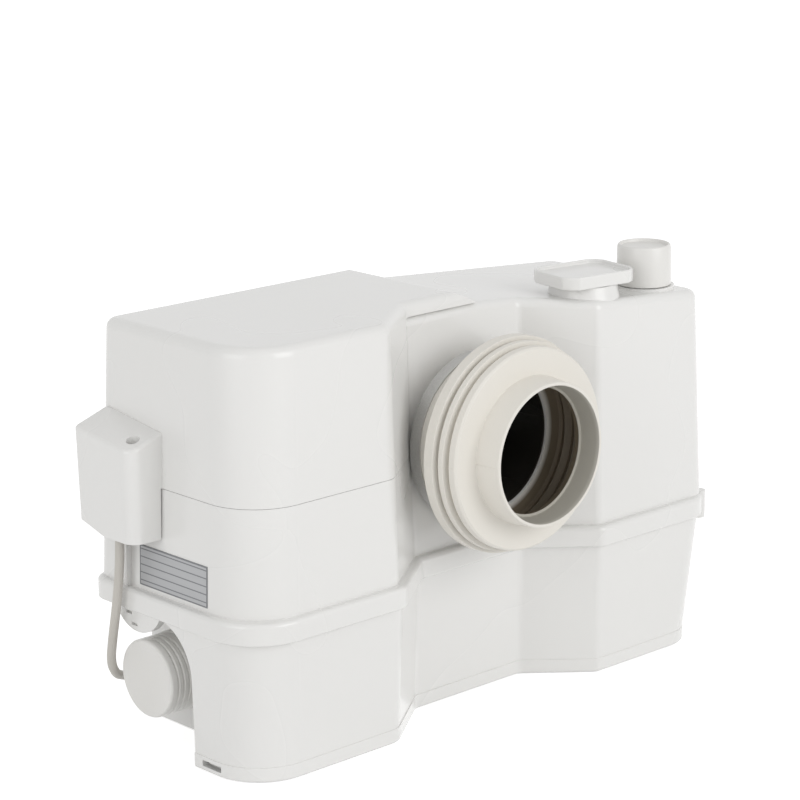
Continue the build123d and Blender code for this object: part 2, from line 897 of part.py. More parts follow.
# Discharge lid: eight-sided slab, hollowed underneath to fit over the discharge collar
lid_length = 62.0
lid_width = 48.0
lid_corner = 7.5
lid_thickness = 9.0
lid_round = 1.0
lid_low = discharge_top + seam_gap
lid_hollow_depth = discharge_collar_rise + slip_gap
with BuildPart() as discharge_lid:
    with BuildSketch(Plane.XY.offset(lid_low)):
        with Locations(discharge_centre):
            Rectangle(lid_length, lid_width)
        chamfer(vertices(), lid_corner)
    extrude(amount=lid_thickness)
    fillet(discharge_lid.faces().sort_by(Axis.Z)[-1].edges(), lid_round)
    disc(
        discharge_collar_radius + slip_gap,
        lid_low,
        lid_low + lid_hollow_depth,
        discharge_centre,
        Mode.SUBTRACT,
    )

# Rating label: a blank plate flat on the housing's left wall
label_width = 68.0
label_height = 27.0
label_thickness = 0.4
label_centre_y = 4.0
label_rise = 16.5
label_centre_z = flange_top + label_rise
label_x = -left_reach + wall_inset(label_centre_z)
with BuildPart() as label_plate:
    with Locations(Location((label_x, label_centre_y, label_centre_z), (0, draft_angle, 0))):
        Box(label_thickness, label_width, label_height, align=(Align.MAX, Align.CENTER, Align.CENTER))

# Seal carrier in the deck's hole, with the shaft seal in its bore
carrier_flange_radius = 30.0
carrier_flange_height = 4.0
carrier_depth = 21.0
carrier_low = seam_height - carrier_depth
seal_bore_radius = 14.0
seal_bore_rise = 4.0
seal_bore_height = 10.0
seal_bore_low = carrier_low + seal_bore_rise
seal_bore_high = seal_bore_low + seal_bore_height
shaft_hole_radius = 8.0
carrier_high = seam_height + carrier_flange_height
bearing_bore = shaft_radius + running_gap
with BuildPart() as seal_carrier:
    disc(carrier_flange_radius, seam_height, carrier_high, motor_axis)
    disc(carrier_hole_radius - seam_gap, carrier_low, seam_height, motor_axis)
    disc(seal_bore_radius, carrier_low, seal_bore_high, motor_axis, Mode.SUBTRACT)
    disc(shaft_hole_radius, seal_bore_high, carrier_high, motor_axis, Mode.SUBTRACT)

with BuildPart() as shaft_seal:
    add(ring(seal_bore_radius, bearing_bore, seal_bore_low, seal_bore_high, motor_axis))

# Motor: two brackets, a slotted stator core with its windings, bearings, rotor and shaft
stator_radius = 47.0
stator_bore = 28.8
stator_rise = 21.0
stator_stack = 48.0
stator_low = seam_height + stator_rise
stator_high = stator_low + stator_stack
bracket_wall = 6.0
bracket_plate = 6.0
bracket_cap_height = 14.0
bracket_top = stator_high + bracket_cap_height
bracket_foot_outer = 46.0
bracket_foot_inner = 36.0
lower_bearing_radius = 13.0
upper_bearing_radius = 11.0
bolt_circle_radius = 43.5
bolt_hole_radius = screw_radius + seam_gap
bolt_count = 4
slot_count = 12
slot_foot_radius = 31.0
slot_head_radius = 38.3
slot_width = 6.6
slot_mouth_width = 2.4
winding_inner = 31.3
winding_outer = 38.0
winding_overhang = 9.0
bracket_bottom = carrier_high + bracket_plate
bracket_skirt = stator_radius - bracket_wall


def bolt_holes(low, high):
    """Holes for the motor's long bolts, in the part being built."""
    with Locations((motor_x, motor_y, low)):
        with PolarLocations(bolt_circle_radius, bolt_count):
            Cylinder(bolt_hole_radius, high - low, align=BASE, mode=Mode.SUBTRACT)


with BuildPart() as motor_bottom_bracket:
    disc(stator_radius, carrier_high, stator_low, motor_axis)
    disc(bracket_skirt, bracket_bottom, stator_low, motor_axis, Mode.SUBTRACT)
    disc(lower_bearing_radius, carrier_high, bracket_bottom, motor_axis, Mode.SUBTRACT)
    add(ring(bracket_foot_outer, bracket_foot_inner, seam_height, carrier_high, motor_axis))
    bolt_holes(carrier_high, stator_low)

with BuildPart() as motor_top_bracket:
    disc(stator_radius, stator_high, bracket_top + bracket_plate, motor_axis)
    disc(bracket_skirt, stator_high, bracket_top, motor_axis, Mode.SUBTRACT)
    disc(upper_bearing_radius, bracket_top, bracket_top + bracket_plate, motor_axis, Mode.SUBTRACT)
    bolt_holes(stator_high, bracket_top + bracket_plate)

with BuildPart() as shaft_bearings:
    add(ring(lower_bearing_radius, bearing_bore, carrier_high, bracket_bottom, motor_axis))
    add(
        ring(
            upper_bearing_radius,
            bearing_bore,
            bracket_top,
            bracket_top + bracket_plate,
            motor_axis,
        )
    )

stator_middle = (stator_low + stator_high) / 2
stator_height = stator_high - stator_low
slot_depth = slot_head_radius - slot_foot_radius
slot_radius = (slot_head_radius + slot_foot_radius) / 2
mouth_depth = slot_foot_radius - stator_bore + wall
mouth_radius = slot_foot_radius - mouth_depth / 2 + seam_gap
with BuildPart() as stator_core:
    disc(stator_radius, stator_low, stator_high, motor_axis)
    disc(stator_bore, stator_low, stator_high, motor_axis, Mode.SUBTRACT)
    with Locations((motor_x, motor_y, stator_middle)):
        with PolarLocations(slot_radius, slot_count):
            Box(slot_depth, slot_width, stator_height, mode=Mode.SUBTRACT)
        with PolarLocations(mouth_radius, slot_count):
            Box(mouth_depth, slot_mouth_width, stator_height, mode=Mode.SUBTRACT)
    bolt_holes(stator_low, stator_high)

bar_depth = winding_outer - winding_inner
bar_radius = (winding_outer + winding_inner) / 2
with BuildPart() as stator_windings:
    for low in (stator_low - winding_overhang, stator_high + seam_gap):
        add(ring(winding_outer, winding_inner, low, low + winding_overhang - seam_gap, motor_axis))
    with Locations((motor_x, motor_y, stator_middle)):
        with PolarLocations(bar_radius, slot_count):
            Box(bar_depth - seam_gap, slot_width - 2 * seam_gap, stator_height + winding_overhang)

rotor_radius = stator_bore - air_gap
rotor_margin = 2.0
end_ring_radius = 22.0
end_ring_height = 5.0
shaft_low = 22.0
shaft_stub = 8.0
shaft_chamfer = 0.7
shaft_high = bracket_top + shaft_stub
with BuildPart() as rotor_core:
    disc(rotor_radius, stator_low + rotor_margin, stator_high - rotor_margin, motor_axis)
    disc(
        end_ring_radius,
        stator_low + rotor_margin - end_ring_height,
        stator_high - rotor_margin + end_ring_height,
        motor_axis,
    )
    disc(shaft_radius, stator_low - overrun, stator_high + overrun, motor_axis, Mode.SUBTRACT)

with BuildPart() as motor_shaft:
    disc(shaft_radius, shaft_low, shaft_high, motor_axis)
    chamfer(motor_shaft.edges(), shaft_chamfer)

bolt_head_height = 3.0
with BuildPart() as motor_bolts:
    with Locations((motor_x, motor_y, carrier_high)):
        with PolarLocations(bolt_circle_radius, bolt_count):
            Cylinder(screw_radius, bracket_top + bracket_plate - carrier_high, align=BASE)
    with Locations((motor_x, motor_y, bracket_top + bracket_plate)):
        with PolarLocations(bolt_circle_radius, bolt_count):
            Cylinder(screw_head_radius - seam_gap, bolt_head_height, align=BASE)

# Run capacitor and the clip that stands it on the deck
capacitor_offset = 78.0
capacitor_height = 57.0
capacitor_centre = (motor_x - capacitor_offset, 0.0)
capacitor_radius = 17.0
capacitor_high = seam_height + capacitor_height
capacitor_round = 2.0
capacitor_tab = (1.0, 6.0, 8.0)
capacitor_tab_spread = 9.0
clip_thickness = 1.5
clip_rise = 21.0
clip_height = 10.0
clip_low = seam_height + clip_rise
clip_high = clip_low + clip_height
clip_leg_width = 10.0
with BuildPart() as run_capacitor:
    disc(capacitor_radius, seam_height, capacitor_high, capacitor_centre)
    fillet(run_capacitor.faces().sort_by(Axis.Z)[-1].edges(), capacitor_round)
    for side in (-1, 1):
        tab_x = capacitor_centre[0] + side * capacitor_tab_spread
        with Locations((tab_x, capacitor_centre[1], capacitor_high)):
            Box(*capacitor_tab, align=BASE)

clip_inner = capacitor_radius + seam_gap
clip_outer = clip_inner + clip_thickness
with BuildPart() as capacitor_clip:
    add(
        box_between(
            (capacitor_centre[0], -clip_leg_width / 2, seam_height),
            (capacitor_centre[0] + clip_outer + clip_thickness, clip_leg_width / 2, clip_high),
        )
    )
    disc(clip_outer, clip_low, clip_high, capacitor_centre)
    disc(clip_inner, seam_height, clip_high, capacitor_centre, Mode.SUBTRACT)

# Control board on the deck, with the terminal block that takes the mains lead
board_offset = 57.0
board_height = 59.0
board_x = motor_x - board_offset
board_thickness = 1.6
board_front = 24.0
board_rear = 62.0
board_high = seam_height + board_height
block_length = 13.6
block_width = 18.0
block_pitch = 6.0
block_rise = 26.0
block_height = 15.0
block_port_rise = 7.2
block_low = seam_height + block_rise
block_high = block_low + block_height
relay_size = (10.0, 14.0, 14.0)
relay_rise = 11.0
relay_place = (33.0, seam_height + relay_rise)
board_foot_width = 8.0
board_foot_height = 3.0
lead_level = block_low + block_port_rise
with BuildPart() as control_board:
    add(
        box_between(
            (board_x, board_front, seam_height),
            (board_x + board_thickness, board_rear, board_high),
        )
    )
    add(
        box_between(
            (board_x - board_foot_width / 2, board_front, seam_height),
            (board_x + board_foot_width / 2, board_rear, seam_height + board_foot_height),
        )
    )
    with Locations((board_x, *relay_place)):
        Box(*relay_size, align=(Align.MAX, Align.CENTER, Align.MIN))

with BuildPart() as terminal_block:
    add(
        box_between(
            (board_x - block_length, gland_y - block_width / 2, block_low),
            (board_x, gland_y + block_width / 2, block_high),
        )
    )
    for side in (-1, 0, 1):
        with Locations((board_x - block_length / 2, gland_y + side * block_pitch, block_high)):
            Cylinder(screw_radius, 2 * screw_radius, mode=Mode.SUBTRACT)

# Pressure switch on the deck: air tube, base, membrane, cover, plunger and contact block
bell_radius = 11.0
bell_low = 40.0
bell_high = 112.0
tube_radius = 4.6
tube_bore_radius = 3.2
tube_stub = 2.0
tube_high = seam_height + tube_stub
tube_collar_radius = 9.0
tube_collar_height = 3.0
tube_wall = 1.4
switch_radius = 18.0
switch_floor = 3.0
switch_base_height = 10.0
switch_cover_height = 14.0
membrane_thickness = 1.0
plunger_radius = 2.4
plunger_foot_radius = 9.0
plunger_foot_height = 2.0
plunger_length = 17.0
contact_size = (22.0, 11.0, 12.0)
contact_blade = (5.0, 1.0, 8.0)
contact_pitch = 7.3
contact_post_width = 4.0
contact_post_height = 6.0
switch_base_high = seam_height + switch_base_height
membrane_low = switch_base_high + seam_gap
switch_cover_low = membrane_low + membrane_thickness + seam_gap
switch_cover_high = switch_cover_low + switch_cover_height
contact_low = switch_cover_high + contact_post_height
deck_under = seam_height - deck_thickness
with BuildPart() as pressure_tube:
    disc(bell_radius, bell_low, bell_high, switch_centre)
    disc(tube_radius, bell_high, tube_high, switch_centre)
    disc(tube_collar_radius, deck_under - tube_collar_height, deck_under, switch_centre)
    disc(bell_radius - tube_wall, bell_low, bell_high - tube_wall, switch_centre, Mode.SUBTRACT)
    disc(tube_bore_radius, bell_low, tube_high, switch_centre, Mode.SUBTRACT)

with BuildPart() as switch_base:
    disc(switch_radius, seam_height, switch_base_high, switch_centre)
    disc(
        switch_radius - wall,
        seam_height + switch_floor,
        switch_base_high,
        switch_centre,
        Mode.SUBTRACT,
    )
    disc(tube_radius + seam_gap, seam_height, switch_base_high, switch_centre, Mode.SUBTRACT)

with BuildPart() as switch_membrane:
    disc(switch_radius - seam_gap, membrane_low, membrane_low + membrane_thickness, switch_centre)

with BuildPart() as switch_cover:
    disc(switch_radius, switch_cover_low, switch_cover_high, switch_centre)
    disc(
        switch_radius - wall,
        switch_cover_low,
        switch_cover_high - switch_floor,
        switch_centre,
        Mode.SUBTRACT,
    )
    disc(
        plunger_radius + running_gap, switch_cover_low, switch_cover_high, switch_centre, Mode.SUBTRACT
    )
    for side in (-1, 1):
        post_x = switch_centre[0] + side * (contact_size[0] - contact_post_width) / 2
        with Locations((post_x, switch_centre[1], switch_cover_high)):
            Box(contact_post_width, contact_size[1], contact_post_height, align=BASE)

with BuildPart() as switch_plunger:
    disc(
        plunger_foot_radius, switch_cover_low, switch_cover_low + plunger_foot_height, switch_centre
    )
    disc(plunger_radius, switch_cover_low, switch_cover_low + plunger_length, switch_centre)

with BuildPart() as micro_switch:
    with Locations((*switch_centre, contact_low)):
        Box(*contact_size, align=BASE)
    for side in (-1, 0, 1):
        blade_x = switch_centre[0] + side * contact_pitch
        with Locations((blade_x, switch_centre[1], contact_low + contact_size[2])):
            Box(*contact_blade, align=BASE)

# Carbon filter that lets air out of the tank
vent_radius = 12.0
vent_height = 17.0
vent_high = seam_height + vent_height
vent_stub_radius = 4.7
vent_stub_bore = 3.0
vent_stub_length = 11.0
vent_stub_low = seam_height - vent_stub_length
vent_hole_radius = 1.0
vent_hole_circle = 7.0
vent_hole_count = 8
with BuildPart() as carbon_vent_filter:
    disc(vent_radius, seam_height, vent_high, vent_centre)
    disc(vent_stub_radius, vent_stub_low, seam_height, vent_centre)
    disc(vent_stub_bore, vent_stub_low, vent_high - wall, vent_centre, Mode.SUBTRACT)
    with Locations((*vent_centre, vent_high)):
        with PolarLocations(vent_hole_circle, vent_hole_count):
            Cylinder(vent_hole_radius, 2 * wall, mode=Mode.SUBTRACT)

# Column under the deck, with the grinder basket hanging from it over the pump
column_radius = 29.0
column_bore = carrier_hole_radius + seam_gap
basket_high = 118.0
basket_low = 62.0
basket_radius = 50.0
basket_bore = 47.0
basket_top_plate = 4.0
basket_slot_count = 24
basket_slot_width = 3.0
basket_slot_low = 68.0
basket_slot_high = 108.0
window_width = 56.0
window_low = 66.0
window_high = 112.0
column_foot_radius = 38.0
column_foot_height = 4.0
with BuildPart() as pump_column:
    disc(column_foot_radius, basket_high, basket_high + column_foot_height, motor_axis)
    disc(column_radius, basket_high, deck_under, motor_axis)
    disc(column_bore, basket_high, deck_under, motor_axis, Mode.SUBTRACT)

slot_middle = (basket_slot_low + basket_slot_high) / 2
with BuildPart() as grinder_basket:
    disc(basket_radius, basket_low, basket_high, motor_axis)
    disc(basket_bore, basket_low, basket_high - basket_top_plate, motor_axis, Mode.SUBTRACT)
    disc(shaft_hole_radius, basket_low, basket_high, motor_axis, Mode.SUBTRACT)
    with Locations((motor_x, motor_y, slot_middle)):
        with PolarLocations(basket_radius, basket_slot_count):
            Box(
                basket_radius / 2,
                basket_slot_width,
                basket_slot_high - basket_slot_low,
                mode=Mode.SUBTRACT,
            )
    add(
        box_between(
            (motor_x, -window_width / 2, window_low),
            (motor_x + basket_radius, window_width / 2, window_high),
        ),
        mode=Mode.SUBTRACT,
    )

# Chute from under the toilet inlet to the basket's window, on a rib that stands on the floor
chute_radius = 30.0
chute_wall = 2.5
chute_angle = 25.0
chute_foot = (motor_x + basket_radius, 96.0)
chute_length = 112.0
chute_rib_x = -6.0
chute_rib_thickness = 5.0
chute_rib_width = 24.0
chute_slope = math.tan(math.radians(chute_angle))
chute_rib_high = chute_foot[1] + (chute_rib_x - chute_foot[0]) * chute_slope - chute_radius
chute_plane = Plane(
    origin=(chute_foot[0] - overrun, 0, chute_foot[1] - overrun * chute_slope),
    x_dir=(0, 1, 0),
    z_dir=(1, 0, chute_slope),
)
with BuildPart() as inlet_chute:
    with BuildSketch(chute_plane):
        Circle(chute_radius)
        with Locations((0, chute_radius)):
            Rectangle(2 * chute_radius, 2 * chute_radius, mode=Mode.SUBTRACT)
    extrude(amount=chute_length + overrun)
    add(
        box_between(
            (chute_rib_x - chute_rib_thickness / 2, -chute_rib_width / 2, tank_floor),
            (chute_rib_x + chute_rib_thickness / 2, chute_rib_width / 2, chute_rib_high),
        )
    )
    with BuildSketch(chute_plane):
        Circle(chute_radius - chute_wall)
    extrude(amount=chute_length + overrun, mode=Mode.SUBTRACT)
    disc(basket_radius + slip_gap, tank_floor, deck_under, motor_axis, Mode.SUBTRACT)

# Pump: volute on legs, its cover, and on the shaft the cutting blade, impeller and nut
volute_low = 14.0
volute_high = 58.0
volute_floor = 4.0
volute_bore = 45.0
volute_inlet_radius = 17.0
leg_radius = 4.0
leg_circle = 44.0
leg_count = 4
outlet_y = 36.0
outlet_z = 39.0
outlet_radius = 14.0
outlet_bore = 11.0
outlet_length = 68.0
outlet_tip = motor_x + outlet_length
outlet_place = (outlet_y, outlet_z)
with BuildPart() as pump_volute:
    disc(basket_radius, volute_low, volute_high, motor_axis)
    along_x(outlet_radius, motor_x, outlet_tip, outlet_place)
    disc(volute_bore, volute_low + volute_floor, volute_high, motor_axis, Mode.SUBTRACT)
    along_x(outlet_bore, motor_x, outlet_tip, outlet_place, Mode.SUBTRACT)
    disc(volute_inlet_radius, volute_low, volute_high, motor_axis, Mode.SUBTRACT)
    with Locations((motor_x, motor_y, tank_floor)):
        with PolarLocations(leg_circle, leg_count, start_angle=360 / leg_count / 2):
            Cylinder(leg_radius, volute_low - tank_floor, align=BASE)

with BuildPart() as volute_cover:
    add(ring(basket_radius, shaft_hole_radius, volute_high, basket_low, motor_axis))

blade_hub_radius = 11.0
blade_low = 66.0
blade_hub_height = 10.0
blade_span = 84.0
blade_width = 12.0
blade_thickness = 3.0
blade_tip_length = 5.0
blade_tip_height = 11.0
with BuildPart() as macerator_blade:
    disc(blade_hub_radius, blade_low, blade_low + blade_hub_height, motor_axis)
    with Locations((motor_x, motor_y, blade_low)):
        Box(blade_span, blade_width, blade_thickness, align=BASE)
    for side in (-1, 1):
        tip_x = motor_x + side * (blade_span - blade_tip_length) / 2
        with Locations((tip_x, motor_y, blade_low)):
            Box(blade_tip_length, blade_width, blade_tip_height, align=BASE)
    disc(shaft_radius, blade_low, blade_low + blade_hub_height, motor_axis, Mode.SUBTRACT)

impeller_radius = 40.0
impeller_low = 28.0
impeller_plate_low = 46.0
impeller_high = 49.0
impeller_hub_radius = 11.0
vane_count = 6
vane_thickness = 3.0
vane_length = 30.0
vane_lean = 25.0
nut_radius = 10.0
nut_height = 5.0
with BuildPart() as impeller:
    disc(impeller_radius, impeller_plate_low, impeller_high, motor_axis)
    disc(impeller_hub_radius, impeller_low, impeller_high, motor_axis)
    with Locations((motor_x, motor_y, impeller_low)):
        with PolarLocations(impeller_radius - vane_length / 2, vane_count):
            Box(
                vane_length,
                vane_thickness,
                impeller_high - impeller_low,
                rotation=(0, 0, vane_lean),
                align=BASE,
            )
    disc(impeller_radius, impeller_low, impeller_high, motor_axis, Mode.INTERSECT)
    disc(shaft_radius, impeller_low, impeller_high, motor_axis, Mode.SUBTRACT)

with BuildPart() as impeller_nut:
    with BuildSketch(Plane.XY.offset(impeller_low - nut_height)):
        with Locations(motor_axis):
            RegularPolygon(nut_radius, 6)
            Circle(shaft_radius, mode=Mode.SUBTRACT)
    extrude(amount=nut_height)

# Non-return valve under the discharge socket
valve_radius = 24.0
valve_bore = 21.0
valve_height = 48.0
valve_stub_length = 22.0
valve_high = discharge_bottom
valve_low = valve_high - valve_height
valve_floor_height = 4.0
valve_stub_low = valve_low - valve_stub_length
valve_neck_high = discharge_top - discharge_bore_depth
valve_neck_radius = discharge_neck_bore - slip_gap
valve_neck_bore = 13.6
valve_seat_rise = 12.0
valve_seat_thickness = 3.0
valve_seat_low = valve_low + valve_seat_rise
valve_seat_high = valve_seat_low + valve_seat_thickness
valve_seat_bore = 12.0
valve_flap_radius = 14.0
valve_flap_thickness = 2.5
valve_pin_radius = 1.2
valve_pin_offset = 17.0
valve_ear_radius = 2.2
valve_ear_width = 14.0
valve_lug_width = 3.0
valve_lug_height = 5.0
valve_lug_depth = 5.0
valve_pin_y = discharge_centre[1] + valve_pin_offset
valve_pin_z = valve_seat_high + seam_gap + valve_ear_radius
valve_lug_middle = (valve_ear_width + valve_lug_width) / 2 + slip_gap
valve_pin_length = valve_ear_width + 2 * (valve_lug_width + slip_gap)
valve_flap_low = valve_seat_high + seam_gap
valve_pin_location = Location((discharge_centre[0], valve_pin_y, valve_pin_z), (0, 90, 0))
with BuildPart() as valve_body:
    disc(valve_radius, valve_low, valve_high, discharge_centre)
    disc(outlet_radius, valve_stub_low, valve_low, discharge_centre)
    disc(valve_neck_radius, valve_high, valve_neck_high, discharge_centre)
    disc(
        valve_bore,
        valve_low + valve_floor_height,
        valve_seat_low,
        discharge_centre,
        Mode.SUBTRACT,
    )
    disc(
        valve_bore,
        valve_seat_high,
        valve_high - valve_floor_height,
        discharge_centre,
        Mode.SUBTRACT,
    )
    disc(outlet_bore, valve_stub_low, valve_seat_low, discharge_centre, Mode.SUBTRACT)
    disc(valve_seat_bore, valve_seat_low, valve_seat_high, discharge_centre, Mode.SUBTRACT)
    disc(valve_neck_bore, valve_seat_high, valve_neck_high, discharge_centre, Mode.SUBTRACT)
    for side in (-1, 1):
        lug_x = discharge_centre[0] + side * valve_lug_middle
        with Locations((lug_x, valve_pin_y, valve_seat_high)):
            Box(valve_lug_width, valve_lug_depth, valve_lug_height, align=BASE)
    with Locations(valve_pin_location):
        Cylinder(valve_pin_radius, valve_pin_length, mode=Mode.SUBTRACT)

with BuildPart() as valve_flap:
    disc(
        valve_flap_radius,
        valve_flap_low,
        valve_flap_low + valve_flap_thickness,
        discharge_centre,
    )
    add(
        box_between(
            (discharge_centre[0] - valve_ear_width / 2, discharge_centre[1], valve_flap_low),
            (
                discharge_centre[0] + valve_ear_width / 2,
                valve_pin_y,
                valve_flap_low + valve_flap_thickness,
            ),
        )
    )
    with Locations(valve_pin_location):
        Cylinder(valve_ear_radius, valve_ear_width)
        Cylinder(valve_pin_radius + running_gap, valve_ear_width, mode=Mode.SUBTRACT)

with BuildPart() as valve_flap_pin:
    with Locations(valve_pin_location):
        Cylinder(valve_pin_radius, valve_pin_length)

# Discharge hose from the pump to the valve, with a clip at each end
hose_bore = outlet_radius + seam_gap
hose_wall = 3.5
hose_overlap = 18.0
hose_end_gap = 2.0
hose_radius = hose_bore + hose_wall
hose_start = outlet_tip - hose_overlap
hose_end = valve_low - hose_end_gap
hose_bend = 30.0
clip_gap_radius = hose_radius + seam_gap
hose_clip_radius = clip_gap_radius + clip_thickness
hose_clip_width = 8.0
hose_clip_margin = 3.0
hose_clip_screw_radius = 2.5
hose_clip_screw_length = 12.0
with BuildPart() as discharge_hose:
    with BuildLine():
        FilletPolyline(
            (hose_start, outlet_y, outlet_z),
            (discharge_centre[0], outlet_y, outlet_z),
            (discharge_centre[0], discharge_centre[1], outlet_z),
            (*discharge_centre, hose_end),
            radius=hose_bend,
        )
    with BuildSketch(Plane((hose_start, outlet_y, outlet_z), z_dir=(1, 0, 0))):
        Circle(hose_radius)
        Circle(hose_bore, mode=Mode.SUBTRACT)
    sweep()

with BuildPart() as hose_clips:
    first_clip = hose_start + hose_clip_margin
    second_clip = hose_end - hose_clip_margin - hose_clip_width
    along_x(hose_clip_radius, first_clip, first_clip + hose_clip_width, outlet_place)
    disc(hose_clip_radius, second_clip, second_clip + hose_clip_width, discharge_centre)
    with Locations(
        (first_clip + hose_clip_width / 2, outlet_y, outlet_z + hose_clip_radius),
        (discharge_centre[0], discharge_centre[1] + hose_clip_radius, second_clip + hose_clip_width / 2),
    ):
        Box(hose_clip_width, hose_clip_screw_length, 2 * hose_clip_screw_radius)
    along_x(clip_gap_radius, first_clip, first_clip + hose_clip_width, outlet_place, Mode.SUBTRACT)
    disc(
        clip_gap_radius,
        second_clip,
        second_clip + hose_clip_width,
        discharge_centre,
        Mode.SUBTRACT,
    )

# Mains lead: relief in the entry block, tail to the terminals, free stretch, coil and plug lead
relief_length = 20.0
relief_low = gland_low - relief_length
relief_tip_radius = 4.4
relief_collar_radius = 6.5
relief_barrel_radius = gland_bore_radius - seam_gap
relief_bore_radius = cord_radius + seam_gap
with BuildPart() as strain_relief:
    disc(relief_barrel_radius, gland_low, gland_high, (gland_x, gland_y))
    with Locations((gland_x, gland_y, relief_low)):
        Cone(
            relief_tip_radius,
            relief_collar_radius,
            gland_low - relief_low,
            align=BASE,
        )
    disc(relief_bore_radius, relief_low, gland_high, (gland_x, gland_y), Mode.SUBTRACT)

bend_share = 0.45
lead_split_drop = 4.2
lead_bend_length = 20.9
lead_split = gland_low - lead_split_drop
lead_first_corner = lead_level - lead_bend_length
lead_second_corner = gland_x + lead_bend_length
lead_end = board_x - block_length - slip_gap
coil_centre = (-80.0, 130.0)
coil_radius = 42.0
coil_half_pitch = 3.8
coil_rise = 7.2
coil_half_turns = 4
coil_end = 2 * cord_radius
top_layer = cord_radius + coil_rise
coil_start_y = coil_centre[1] - coil_radius
coil_exit_radius = coil_radius - coil_half_pitch
coil_exit_y = coil_centre[1] - coil_exit_radius
tail_route = [
    (gland_x, gland_y, lead_split),
    (gland_x, gland_y, lead_first_corner),
    (lead_second_corner, gland_y, lead_level),
    (lead_end, gland_y, lead_level),
]
hanging_points = [
    (0, gland_y, 137.5),
    (0, 45.5, 114.0),
    (0.2, 50.0, 91.5),
    (1.4, 56.2, 70.7),
    (5.4, 64.2, 52.2),
    (15.0, 72.0, 39.8),
    (26.5, 80.0, 33.5),
    (40.0, 88.5, 28.0),
    (56.0, 97.0, 20.0),
    (74.0, 103.0, 12.0),
    (93.0, 104.0, 5.5),
    (112.0, 97.0, cord_radius),
    (129.0, coil_start_y, cord_radius),
]
cord_route = [
    (gland_x, gland_y, lead_split - seam_gap),
    *((gland_x + along, y, z) for along, y, z in hanging_points),
    (coil_centre[0] - coil_end - seam_gap, coil_start_y, cord_radius),
]
plug_x = -2.0
plug_y = 99.5
plug_radius = 18.5
plug_lead_route = [
    (coil_centre[0] + coil_end + seam_gap, coil_exit_y, top_layer),
    (-56.0, coil_exit_y, top_layer),
    (-35.5, 95.0, 13.5),
    (-15.5, plug_y, plug_radius),
    (plug_x + coil_end, plug_y, plug_radius),
]


def bend_radii(route):
    """Radius of the arc at each corner of a route, from its shorter run and its turn."""
    radii = []
    for before, here, after in zip(route, route[1:], route[2:]):
        first = Vector(*here) - Vector(*before)
        second = Vector(*after) - Vector(*here)
        half_turn = math.radians(first.get_angle(second)) / 2
        radii.append(bend_share * min(first.length, second.length) / math.tan(half_turn))
    return radii


def cord_path(route):
    """Straight runs joined by tangent arcs."""
    with BuildLine() as line:
        FilletPolyline(*route, radius=bend_radii(route))
    return line.wire()


def cord_tube(path):
    """Round tube of the cord's size along a path."""
    with BuildPart() as tube:
        with BuildSketch(Plane(path @ 0, z_dir=path % 0)):
            Circle(cord_radius)
        sweep(path=path)
    return tube.part


tail_path = cord_path(tail_route)
cord_line = cord_path(cord_route)
plug_lead_path = cord_path(plug_lead_route)

with BuildPart() as lead_tail:
    add(cord_tube(tail_path))

with BuildPart() as power_cord:
    add(cord_tube(cord_line))

with BuildPart() as plug_lead:
    add(cord_tube(plug_lead_path))

coil_x, coil_y = coil_centre
with BuildLine() as coil_line:
    here = (coil_x, coil_start_y, cord_radius)
    Line((coil_x - coil_end, coil_start_y, cord_radius), here)
    distance = coil_radius
    level = cord_radius
    side = 1
    for step in range(2 * coil_half_turns):
        climbing = step == coil_half_turns
        if step < coil_half_turns:
            reach = distance - coil_half_pitch
        elif climbing:
            reach = distance
        else:
            reach = distance + coil_half_pitch
        next_level = level + coil_rise if climbing else level
        there = (coil_x, coil_y + side * reach, next_level)
        middle = (
            coil_x + side * (distance + reach) / 2,
            coil_y + side * (reach - distance) / 2,
            (level + next_level) / 2,
        )
        ThreePointArc(here, middle, there)
        here = there
        distance = reach
        level = next_level
        side = -side
    Line(here, (coil_x + coil_end, coil_exit_y, top_layer))
coil_path = coil_line.wire()

with BuildPart() as cord_coil:
    add(cord_tube(coil_path))

# Mains plug on the floor behind the tank, with its two pins
plug_neck_radius = 4.4
plug_neck_foot_radius = 6.5
plug_grip_radius = 12.0
plug_neck_length = 16.0
plug_shoulder = 24.0
plug_body_start = 30.0
plug_length = 52.0
plug_round = 1.5
plug_pin_radius = 2.4
plug_pin_length = 19.0
plug_pin_spread = 9.5
plug_outline = [
    (0, 0),
    (0, plug_neck_radius),
    (plug_neck_length, plug_neck_foot_radius),
    (plug_shoulder, plug_grip_radius),
    (plug_body_start, plug_radius),
    (plug_length, plug_radius),
    (plug_length, 0),
]
with BuildPart() as mains_plug:
    with BuildSketch(Plane((plug_x, plug_y, plug_radius))):
        with BuildLine():
            Polyline(*plug_outline, close=True)
        make_face()
    revolve(axis=Axis((plug_x, plug_y, plug_radius), (1, 0, 0)))
    fillet(mains_plug.faces().sort_by(Axis.X)[-1].edges(), plug_round)
    along_x(relief_bore_radius, plug_x, plug_x + 2 * coil_end, (plug_y, plug_radius), Mode.SUBTRACT)

with BuildPart() as plug_pins:
    for side in (-1, 1):
        pin_place = (plug_y + side * plug_pin_spread, plug_radius)
        along_x(
            plug_pin_radius, plug_x + plug_length, plug_x + plug_length + plug_pin_length, pin_place
        )

